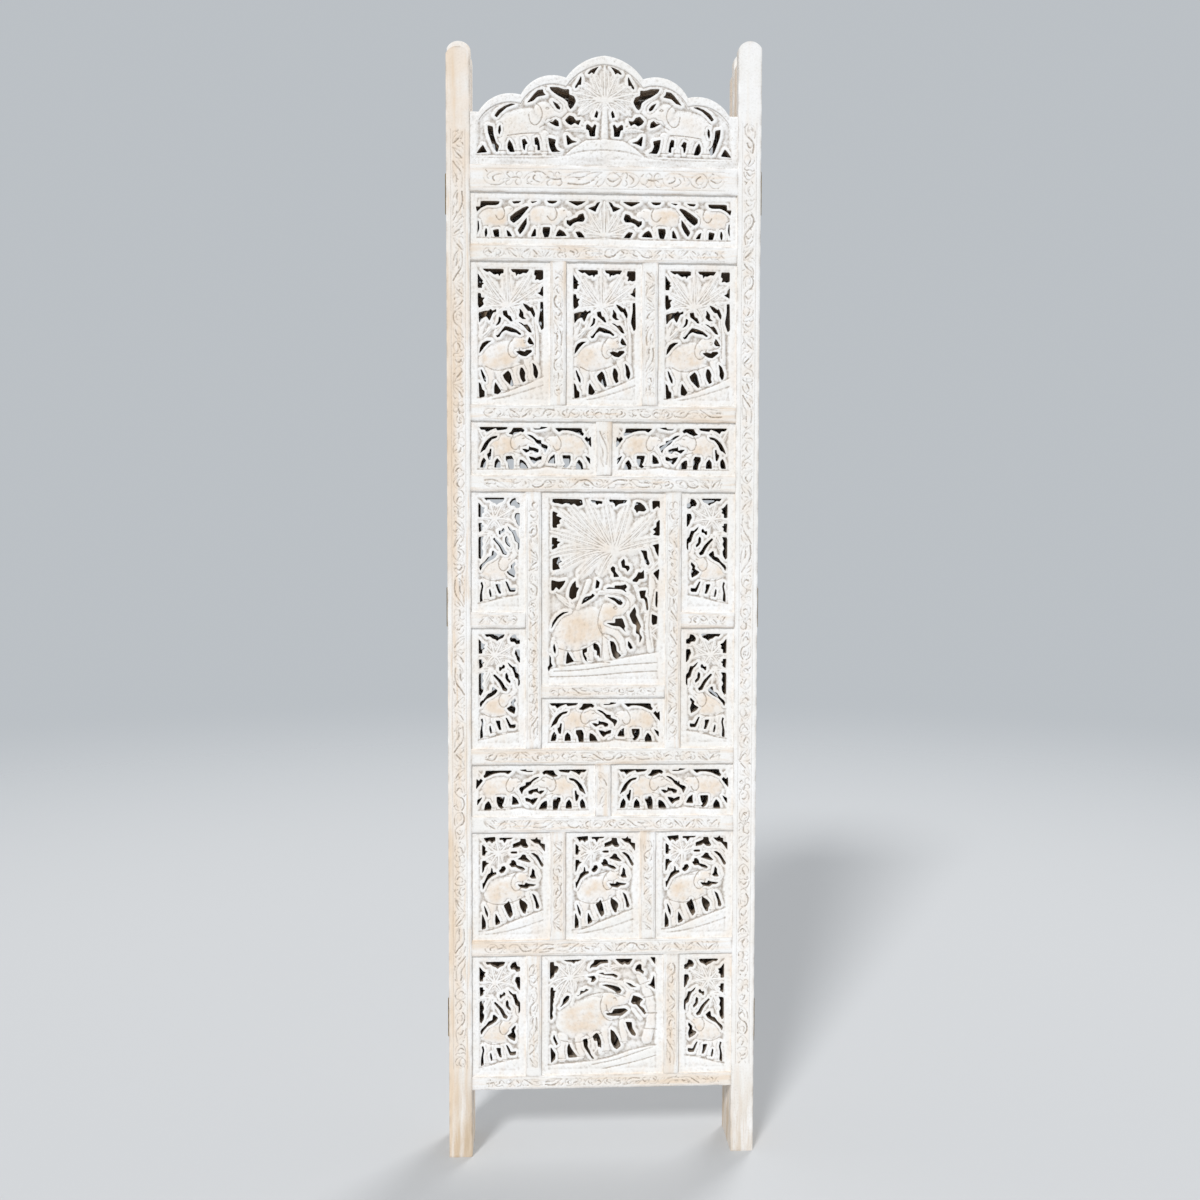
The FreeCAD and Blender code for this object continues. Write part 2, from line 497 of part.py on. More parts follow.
def mullions():
    places = []
    for row, middles in (
        ("bottom", (-wide_x, wide_x)),
        ("flower", (-three_x, three_x)),
        ("low_pair", (0,)),
        ("main", (-wide_x, wide_x)),
        ("high_pair", (0,)),
        ("tall", (-three_x, three_x)),
    ):
        places += [(middle, ROWS[row]) for middle in middles]
    return [mullion(middle, z) for middle, z in places]


# The main row: what stands beside the stiles and between them
main_low, main_high = ROWS["main"]
side_rail_low = main_low + side_split_share * (main_high - main_low - side_rail_height)
side_rail_z = (side_rail_low, side_rail_low + side_rail_height)
centre_rail_low = main_low + centre_split_share * (main_high - main_low - centre_rail_height)
centre_rail_z = (centre_rail_low, centre_rail_low + centre_rail_height)
stile_outer = wide_x + mullion_width / 2
stile_inner = wide_x - mullion_width / 2


def short_rails():
    both = "top bottom"
    left = rail((-inner_half, -stile_outer), side_rail_z, both, stub_length, tongue_thickness)
    right = rail((stile_outer, inner_half), side_rail_z, both, stub_length, tongue_thickness)
    middle = rail((-stile_inner, stile_inner), centre_rail_z, both, stub_length, tongue_thickness)
    return [left, right, middle]


def three_panels(drawing_shares, row):
    """A row of three panels with the same drawing."""
    low, high = ROWS[row]
    outer = inner_half - three_x - mullion_width / 2
    middle = 2 * three_x - mullion_width
    side_panel = panel(drawing_shares, outer, high - low)
    return [
        moved(side_panel, -inner_half, low),
        moved(panel(drawing_shares, middle, high - low), -middle / 2, low),
        moved(side_panel, inner_half - outer, low),
    ]


def pair_panels():
    """The wide panels with two facing animals: two rows of two, and a small one under the centre."""
    width = inner_half - mullion_width / 2
    found = []
    for row, left_is_plain in (("high_pair", True), ("low_pair", False)):
        low, high = ROWS[row]
        plain = panel(pair_shares, width, high - low)
        turned = flipped(plain, width)
        left, right = (plain, turned) if left_is_plain else (turned, plain)
        found += [moved(left, -inner_half, low), moved(right, mullion_width / 2, low)]
    small = panel(pair_shares, 2 * stile_inner, centre_rail_z[0] - main_low)
    found.append(moved(small, -stile_inner, main_low))
    return found


def side_panels():
    """The narrow panels at both sides of the main row and the bottom row."""
    width = inner_half - stile_outer
    found = []
    for low, high in ((side_rail_z[1], main_high), (main_low, side_rail_z[0]), ROWS["bottom"]):
        plain = panel(side_shares, width, high - low)
        found += [moved(plain, -inner_half, low), moved(flipped(plain, width), stile_outer, low)]
    return found


def centre_panel():
    low, high = centre_rail_z[1], main_high
    return moved(panel(centre_shares, 2 * stile_inner, high - low), -stile_inner, low)


def lower_panels():
    low, high = ROWS["bottom"]
    wide = moved(panel(bottom_shares, 2 * stile_inner, high - low), -stile_inner, low)
    return three_panels(flower_shares, "flower") + [wide]


def frieze_panel():
    low, high = ROWS["frieze"]
    return moved(panel(frieze_shares, inner_width, high - low, mirrored=True), 0, low)


def hinge_middles():
    return [share * leaf_height for share in hinge_height_shares]


def screw_places(fold_side):
    """Each screw's y and z on the edge of a post, for a hinge at its back (1) or front (-1)."""
    y = fold_side * (leaf_pitch / 2 - (plate_inner + plate_reach) / 2)
    heights = []
    for middle in hinge_middles():
        heights += [middle + (share - 0.5) * plate_height for share in screw_place_shares]
    return [(y, z) for z in heights]


def outward_cylinder(side, radius, x, y, z):
    """A cylinder along x on this side of the leaf, between two distances from its middle."""
    return Part.makeCylinder(radius, x[1] - x[0], Vec(side * x[0], y, z), Vec(side, 0, 0))


def post(side, fold_side):
    """The post on this side (-1 left, 1 right), with a rounded top, a groove and its mortises."""
    height = leaf_height - (left_post_drop if side < 0 else 0)
    inner, outer = inner_half, half_width
    middle = (inner + outer) / 2
    shoulder = height - post_top_rise
    arc = Part.Arc(Vec(outer, 0, shoulder), Vec(middle, 0, height), Vec(inner, 0, shoulder)).toShape()
    corners = [Vec(inner, 0, shoulder), Vec(inner, 0, 0), Vec(outer, 0, 0), Vec(outer, 0, shoulder)]
    lines = [Part.makeLine(a, b) for a, b in zip(corners, corners[1:])]
    body = Part.Face(Part.Wire([arc] + lines)).extrude(Vec(0, leaf_thickness, 0))
    body.translate(Vec(0, -half_thickness, 0))
    crest_tongue_top = crest_bottom + crest_shoulder_height - tongue_length
    cuts = [groove((inner, inner + groove_depth), (field_bottom - groove_depth, crest_tongue_top + joint_clearance))]
    for (low, high), grooves_at in full_rail_places():
        z = (low + groove_depth - joint_clearance, high - groove_depth + joint_clearance)
        x = (inner, inner + tenon_length + joint_clearance)
        cuts.append(box(x, about(joint_plane, tenon_thickness + 2 * joint_clearance), z))
    body = body.cut(cuts)
    if side < 0:
        body = body.mirror(Vec(0, 0, 0), Vec(1, 0, 0))
    if fold_side:
        holes = [
            outward_cylinder(side, screw_radius + screw_clearance, (outer - screw_length - screw_clearance, outer), y, z)
            for y, z in screw_places(fold_side)
        ]
        body = body.cut(holes)
    return body.removeSplitter()


def plate(side, fold_side, middle, own_knuckles):
    """One plate of a butt hinge, with its share of the knuckles.
    side is the leaf's edge, and fold_side is the face that folds against the next leaf."""
    fold_y = fold_side * leaf_pitch / 2

    def across(near, far):
        ends = (fold_y - fold_side * near, fold_y - fold_side * far)
        return (min(ends), max(ends))

    def outwards(low, high):
        ends = (side * low, side * high)
        return (min(ends), max(ends))

    x = outwards(half_width, half_width + plate_thickness)
    low = middle - plate_height / 2
    pitch = plate_height / knuckle_count
    body = box(x, across(plate_inner, plate_reach), (low, low + plate_height))
    parts = []
    for index in own_knuckles:
        z = (low + index * pitch + knuckle_gap / 2, low + (index + 1) * pitch - knuckle_gap / 2)
        parts.append(box(x, across(neck_lap, plate_inner), z))
        parts.append(Part.makeCylinder(knuckle_radius, z[1] - z[0], Vec(side * hinge_x, fold_y, z[0])))
    body = body.fuse(parts)
    bore = Part.makeCylinder(pin_radius + pin_clearance, plate_height, Vec(side * hinge_x, fold_y, low))
    cuts = [bore]
    y = screw_places(fold_side)[0][0]
    for share in screw_place_shares:
        z = low + share * plate_height
        cuts.append(countersink(side, y, z, screw_clearance))
    return body.cut(cuts).removeSplitter()


def countersink(side, y, z, clearance):
    """The conical seat of a screw's head, or with no clearance the head itself."""
    base = Vec(side * half_width, y, z)
    return Part.makeCone(screw_radius + clearance, screw_head_radius + clearance, plate_thickness, base, Vec(side, 0, 0))


def screw(side, y, z):
    """A slotted countersunk wood screw, driven into the post's edge."""
    head = countersink(side, y, z, 0)
    shank = outward_cylinder(side, screw_radius, (half_width - screw_length, half_width), y, z)
    outer = side * (half_width + plate_thickness)
    inner = side * (half_width + plate_thickness - screw_slot_depth)
    slot_x = (min(outer, inner), max(outer, inner))
    slot = box(slot_x, about(y, screw_slot_width), about(z, 2 * screw_head_radius))
    return head.fuse(shank).cut(slot).removeSplitter()


def pin(side, fold_side, middle):
    """A hinge pin with a head at each end."""
    fold_y = fold_side * leaf_pitch / 2
    low = middle - plate_height / 2
    shaft = Part.makeCylinder(pin_radius, plate_height, Vec(side * hinge_x, fold_y, low))
    bottom = Part.makeCylinder(pin_head_radius, pin_head_height, Vec(side * hinge_x, fold_y, low - pin_head_height))
    top = Part.makeCylinder(pin_head_radius, pin_head_height, Vec(side * hinge_x, fold_y, low + plate_height))
    return shaft.fuse([bottom, top]).removeSplitter()


def placed(shape, leaf):
    """A shape of one leaf at that leaf's place in the folded stack. Every second leaf is turned round."""
    copy = shape.copy()
    if leaf % 2 == 0:
        copy.rotate(Vec(0, 0, 0), Vec(0, 0, 1), 180)
    copy.translate(Vec(0, (leaf - (leaf_count + 1) / 2) * leaf_pitch, 0))
    return copy


def export(name, shapes, leaf):
    """Writes one node: its solids in one file."""
    done = [placed(shape, leaf) for shape in shapes]
    whole = done[0] if len(done) == 1 else Part.makeCompound(done)
    whole.exportStep("parts/leaf_%d_%s.step" % (leaf, name))


def joint_fold_side(joint):
    """The side on which joint number 1, 2 or 3 folds: backs together (1) or fronts together (-1)."""
    return 1 if joint % 2 else -1


# What every leaf has alike
shared = {
    "crest_board": [crest_board()],
    "rails": [rail((-inner_half, inner_half), z, sides, tenon_length, tenon_thickness) for z, sides in full_rail_places()],
    "short_rails": short_rails(),
    "mullions": mullions(),
    "frieze_panel": [frieze_panel()],
    "tall_panels": three_panels(tall_shares, "tall"),
    "pair_panels": pair_panels(),
    "side_panels": side_panels(),
    "centre_panel": [centre_panel()],
    "lower_panels": lower_panels(),
}

outer_knuckles = range(0, knuckle_count, 2)
inner_knuckles = range(1, knuckle_count, 2)

for leaf in range(1, leaf_count + 1):
    for name, shapes in shared.items():
        export(name, shapes, leaf)
    left_fold = joint_fold_side(leaf - 1) if leaf > 1 else 0
    right_fold = joint_fold_side(leaf) if leaf < leaf_count else 0
    export("left_post", [post(-1, left_fold)], leaf)
    export("right_post", [post(1, right_fold)], leaf)
    plates = []
    screws = []
    for side, fold_side, knuckles in ((-1, left_fold, inner_knuckles), (1, right_fold, outer_knuckles)):
        if fold_side:
            plates += [plate(side, fold_side, middle, knuckles) for middle in hinge_middles()]
            screws += [screw(side, y, z) for y, z in screw_places(fold_side)]
    export("hinge_plates", plates, leaf)
    export("hinge_screws", screws, leaf)
    if right_fold:
        export("hinge_pins", [pin(1, right_fold, middle) for middle in hinge_middles()], leaf)
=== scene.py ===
import math
import bpy
import numpy as np
from mathutils import Matrix, Vector
from mathutils.geometry import delaunay_2d_cdt


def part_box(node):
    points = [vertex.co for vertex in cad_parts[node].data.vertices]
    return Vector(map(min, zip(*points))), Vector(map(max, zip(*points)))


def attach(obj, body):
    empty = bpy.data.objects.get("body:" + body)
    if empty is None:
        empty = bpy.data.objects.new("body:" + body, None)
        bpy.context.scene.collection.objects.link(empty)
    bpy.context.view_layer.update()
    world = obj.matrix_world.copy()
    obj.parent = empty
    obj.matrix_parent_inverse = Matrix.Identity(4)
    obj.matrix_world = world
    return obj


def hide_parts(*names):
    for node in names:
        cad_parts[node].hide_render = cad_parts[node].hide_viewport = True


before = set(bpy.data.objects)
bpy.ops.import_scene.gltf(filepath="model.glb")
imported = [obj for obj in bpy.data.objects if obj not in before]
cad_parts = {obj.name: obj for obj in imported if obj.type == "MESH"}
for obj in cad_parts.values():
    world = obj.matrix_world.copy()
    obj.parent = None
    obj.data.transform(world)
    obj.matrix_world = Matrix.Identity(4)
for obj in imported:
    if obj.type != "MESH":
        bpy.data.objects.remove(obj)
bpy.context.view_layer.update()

# A carved folding screen, folded flat. The scene is in metres, and the carving code works in
# millimetres. Every carved piece is cut from its board in the frame: outline and openings come
# from the board, and the relief is drawn here.

MM = 0.001
LEAVES = 4
GRID_MM = 1.1
TINY = 1e-9
SLACK = 1e-6
FAR = 1e9


# The boards, read from the frame

PLANE_SLACK = 0.01
CORNER_CUT = 0.10


def read(items, name, width=1, kind=float):
    """A property of all of a mesh's vertices, faces or corners, as an array."""
    values = np.empty(len(items) * width, kind)
    items.foreach_get(name, values)
    return values.reshape(-1, width) if width > 1 else values


def flat_triangles(node):
    """A node's corners in mm, and the triangles that lie on its front plane."""
    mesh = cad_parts[node].data
    mesh.calc_loop_triangles()
    corners = read(mesh.vertices, "co", 3) / MM
    triangles = read(mesh.loop_triangles, "vertices", 3, int)
    front = corners[:, 1].min()
    near = np.abs(corners[triangles][:, :, 1] - front).max(axis=1) < PLANE_SLACK
    return corners, triangles[near]


def loops_of(corners, triangles):
    """The closed outlines round a set of triangles, as arrays of (x, z) in mm."""
    keys = [tuple(point) for point in np.round(corners[:, [0, 2]], 3)]
    edges = set()
    for a, b, c in triangles.tolist():
        for start, end in ((a, b), (b, c), (c, a)):
            edges.add((keys[start], keys[end]))
    after = {start: end for start, end in edges if (end, start) not in edges}
    loops = []
    while after:
        start, point = after.popitem()
        loop = [start]
        while point != start:
            loop.append(point)
            point = after.pop(point)
        loops.append(np.array(loop))
    return loops


def signed_area(loop):
    x, z = loop[:, 0], loop[:, 1]
    return 0.5 * float(np.sum(x * np.roll(z, -1) - z * np.roll(x, -1)))


def boards_of(node):
    """Each board of a node: its outline, its openings and its front and back planes, in mm."""
    corners, triangles = flat_triangles(node)
    loops = loops_of(corners, triangles)
    areas = [signed_area(loop) for loop in loops]
    turn = math.copysign(1, max(areas, key=abs))
    outlines = [loop for loop, area in zip(loops, areas) if area * turn > 0]
    holes = [loop for loop, area in zip(loops, areas) if area * turn < 0]
    boards = []
    for outline in sorted(outlines, key=lambda loop: (-loop[:, 1].max(), loop[:, 0].min())):
        low, high = outline.min(axis=0), outline.max(axis=0)
        boards.append({
            "outline": outline,
            "holes": [hole for hole in holes if np.all(hole[0] > low) and np.all(hole[0] < high)],
            "low": low,
            "high": high,
            "front": corners[:, 1].min(),
            "back": corners[:, 1].max(),
        })
    return boards


def rounded(loop):
    """A loop with its corners cut, as a knife leaves them."""
    run = np.roll(loop, -1, axis=0) - loop
    near = loop + CORNER_CUT * run
    far = np.roll(loop, -1, axis=0) - CORNER_CUT * run
    return np.stack([near, far], axis=1).reshape(-1, 2)


def along_segment(x, z, start, end):
    """How far along a segment each place lies, as a share, and its distance from the segment."""
    run, rise = end[0] - start[0], end[1] - start[1]
    length = max(run * run + rise * rise, TINY)
    share = np.clip(((x - start[0]) * run + (z - start[1]) * rise) / length, 0, 1)
    return share, np.hypot(x - start[0] - share * run, z - start[1] - share * rise)


def within(x, z, sides):
    """Whether each place lies inside the outlines that these sides make."""
    odd = np.zeros(x.shape, bool)
    for start, end in sides:
        if start[1] != end[1]:
            crosses = (start[1] > z) != (end[1] > z)
            at = start[0] + (z - start[1]) * (end[0] - start[0]) / (end[1] - start[1])
            odd ^= crosses & (x < at)
    return odd


# The grid that a board's front is carved on

# The distance where no opening is near
NO_HOLE = 1e3
HOLE_REACH = 14.0
SNAP_SHARE = 0.12
LEVEL_SHARE = 0.99
BENT_WIDTHS = 1.5
# How far round a place its hollow is measured, and how deep a hollow is fully darkened: crevice
# dirt and painted shade.
HOLLOW_REACH = 3.2
HOLLOW_DEPTH = 0.55
BLUR_ROUNDS = 2
NOISE_WAVES = 7
NOISE_SIZES = (0.7, 1.6)
NOISE_SPREAD = 4.5


class Field:
    """A board's front as a grid of places, in mm: x along the leaf and z up, with the top row on
    the board's upper edge. inside is the distance to the nearest opening's edge, negative in an
    opening. finish turns relief and cut into depth, which is how far the wood is cut away."""

    def __init__(self, board, spread=0.0):
        self.board = board
        self.low = board["low"] - spread
        self.high = board["high"] + spread
        size = self.high - self.low
        columns, rows = (max(2, int(round(value / GRID_MM))) for value in size)
        xs = np.linspace(self.low[0], self.high[0], columns + 1)
        shares = np.linspace(0, 1, rows + 1)
        self.x = np.repeat(xs[None, :], rows + 1, axis=0)
        level = self.level_share()
        bend = grown(shares, level, 1 - level)
        plain = self.low[1] + shares[:, None] * size[1]
        self.z = plain + bend[:, None] * (self.top_edge(xs) - self.high[1])[None, :]
        self.inside = np.full(self.x.shape, NO_HOLE)
        for hole in board["holes"]:
            self.cut_hole(rounded(hole))
        snap = SNAP_SHARE * GRID_MM
        small = np.abs(self.inside) < snap
        self.inside[small] = np.where(self.inside[small] >= 0, snap, -snap)
        self.hole_distance = np.clip(self.inside, 0, None)
        self.relief = np.zeros(self.x.shape)
        self.cut = np.zeros(self.x.shape)
        self.bare = np.zeros(self.x.shape)
        self.formed = np.zeros(self.x.shape, bool)

    def level_share(self):
        """The share of the height below which the rows stay level."""
        if len(self.board["outline"]) <= 4:
            return LEVEL_SHARE
        wide, tall = self.high - self.low
        return 0.0 if wide > tall else 1 - BENT_WIDTHS * wide / tall

    def top_edge(self, xs):
        """The height of the board's upper edge at each x."""
        outline = self.board["outline"]
        if len(outline) <= 4:
            return np.full(xs.shape, self.high[1])
        best = np.full(xs.shape, self.low[1])
        for start, end in zip(outline, np.roll(outline, -1, axis=0)):
            left, right = (start, end) if start[0] < end[0] else (end, start)
            if right[0] - left[0] < SLACK:
                continue
            hit = (xs >= left[0] - SLACK) & (xs <= right[0] + SLACK)
            share = (xs[hit] - left[0]) / (right[0] - left[0])
            best[hit] = np.maximum(best[hit], left[1] + share * (right[1] - left[1]))
        return best

    def window(self, low, high):
        """The part of the grid that may lie in a box."""
        columns = np.searchsorted(self.x[0], [low[0], high[0]])
        rows = np.nonzero((self.z.max(axis=1) >= low[1]) & (self.z.min(axis=1) <= high[1]))[0]
        if len(rows) == 0 or columns[1] <= columns[0]:
            return None
        return slice(rows[0], rows[-1] + 1), slice(columns[0], columns[1])

    def beside(self, start, end, reach):
        """The part of the grid that a segment may reach, with each place's share along the
        segment and its distance from it. Nothing where the segment misses the grid."""
        part = self.window(np.minimum(start, end) - reach, np.maximum(start, end) + reach)
        if part is not None:
            yield (part, *along_segment(self.x[part], self.z[part], start, end))

    def cut_hole(self, loop):
        """Sets the distance to this opening's edge: positive in the wood, negative in it."""
        part = self.window(loop.min(axis=0) - HOLE_REACH, loop.max(axis=0) + HOLE_REACH)
        if part is None:
            return
        x, z = self.x[part], self.z[part]
        sides = list(zip(loop, np.roll(loop, -1, axis=0)))
        nearest = np.full(x.shape, FAR)
        for start, end in sides:
            nearest = np.minimum(nearest, along_segment(x, z, start, end)[1])
        signed = np.where(within(x, z, sides), -nearest, nearest)
        self.inside[part] = np.minimum(self.inside[part], signed)

    def groove(self, points, width, deep):
        """Cuts a rounded groove along a line."""
        half = width / 2
        for start, end in zip(points, points[1:]):
            for part, _, away in self.beside(start, end, half):
                shape = np.clip(1 - (away / half) ** 2, 0, None)
                self.cut[part] = np.maximum(self.cut[part], deep * shape)

    def finish(self, dirt_and_shade):
        """Turns relief and cuts into depth, and darkens the wood where it is hollow, as crevice
        dirt and painted shade.
        """
        level = self.relief - self.cut
        cells = max(1, int(round(HOLLOW_REACH / GRID_MM)))
        hollow = (blurred(level, cells) - level) / HOLLOW_DEPTH
        self.grime_and_shade = np.clip(dirt_and_shade * hollow, 0, 1)
        self.depth = np.clip(-level, 0, None)


def grown(values, start, length):
    """0 up to start, 1 from start + length on, and even between them."""
    return np.clip((values - start) / length, 0, 1)


def bump(off, half):
    """1 where off is 0, falling smoothly to both sides."""
    return np.exp(-(off / half) ** 2)


def blurred(values, cells):
    """Each place's mean over a square that reaches this many cells to each side, in rounds that
    each start from the one before."""
    count = 2 * cells + 1
    for _ in range(BLUR_ROUNDS):
        for axis in (0, 1):
            border = [(0, 0), (0, 0)]
            border[axis] = (cells + 1, cells)
            total = np.cumsum(np.pad(values, border, mode="edge"), axis=axis)
            length = total.shape[axis]
            later = np.take(total, range(count, length), axis)
            values = (later - np.take(total, range(length - count), axis)) / count
    return values


def soft_noise(field, size, seed, stretch=1.0):
    """Smooth noise from -1 to 1 whose lumps are about this many mm across, or longer along x."""
    local = np.random.default_rng(seed)
    total = np.zeros(field.x.shape)
    for _ in range(NOISE_WAVES):
        angle, phase = local.uniform(0, 2 * math.pi, 2)
        wave = 2 * math.pi / (size * local.uniform(*NOISE_SIZES))
        along = field.x * math.cos(angle) / stretch + field.z * math.sin(angle)
        total += np.sin(wave * along + phase)
    return total / NOISE_SPREAD


def patches(field, share, size, seed, stretch=1.0):
    """Soft patches from 0 to 1, more of them with a higher share, size mm across."""
    return np.clip(share + soft_noise(field, size, seed, stretch), 0, 1)


# The drawings. Every drawing has its own grid, given as width and height. A halved drawing's x
# is the distance from the middle, and its other half is the mirror image. worn is how much wood
# shows, where it isn't 1. bodies are rounded forms, as lists of (x, z, radius). palms are leaves,
# as a heart, the tips of the ribs and the reach of a lobe. lines are knife cuts. hills are the
# upper edges of the ground.

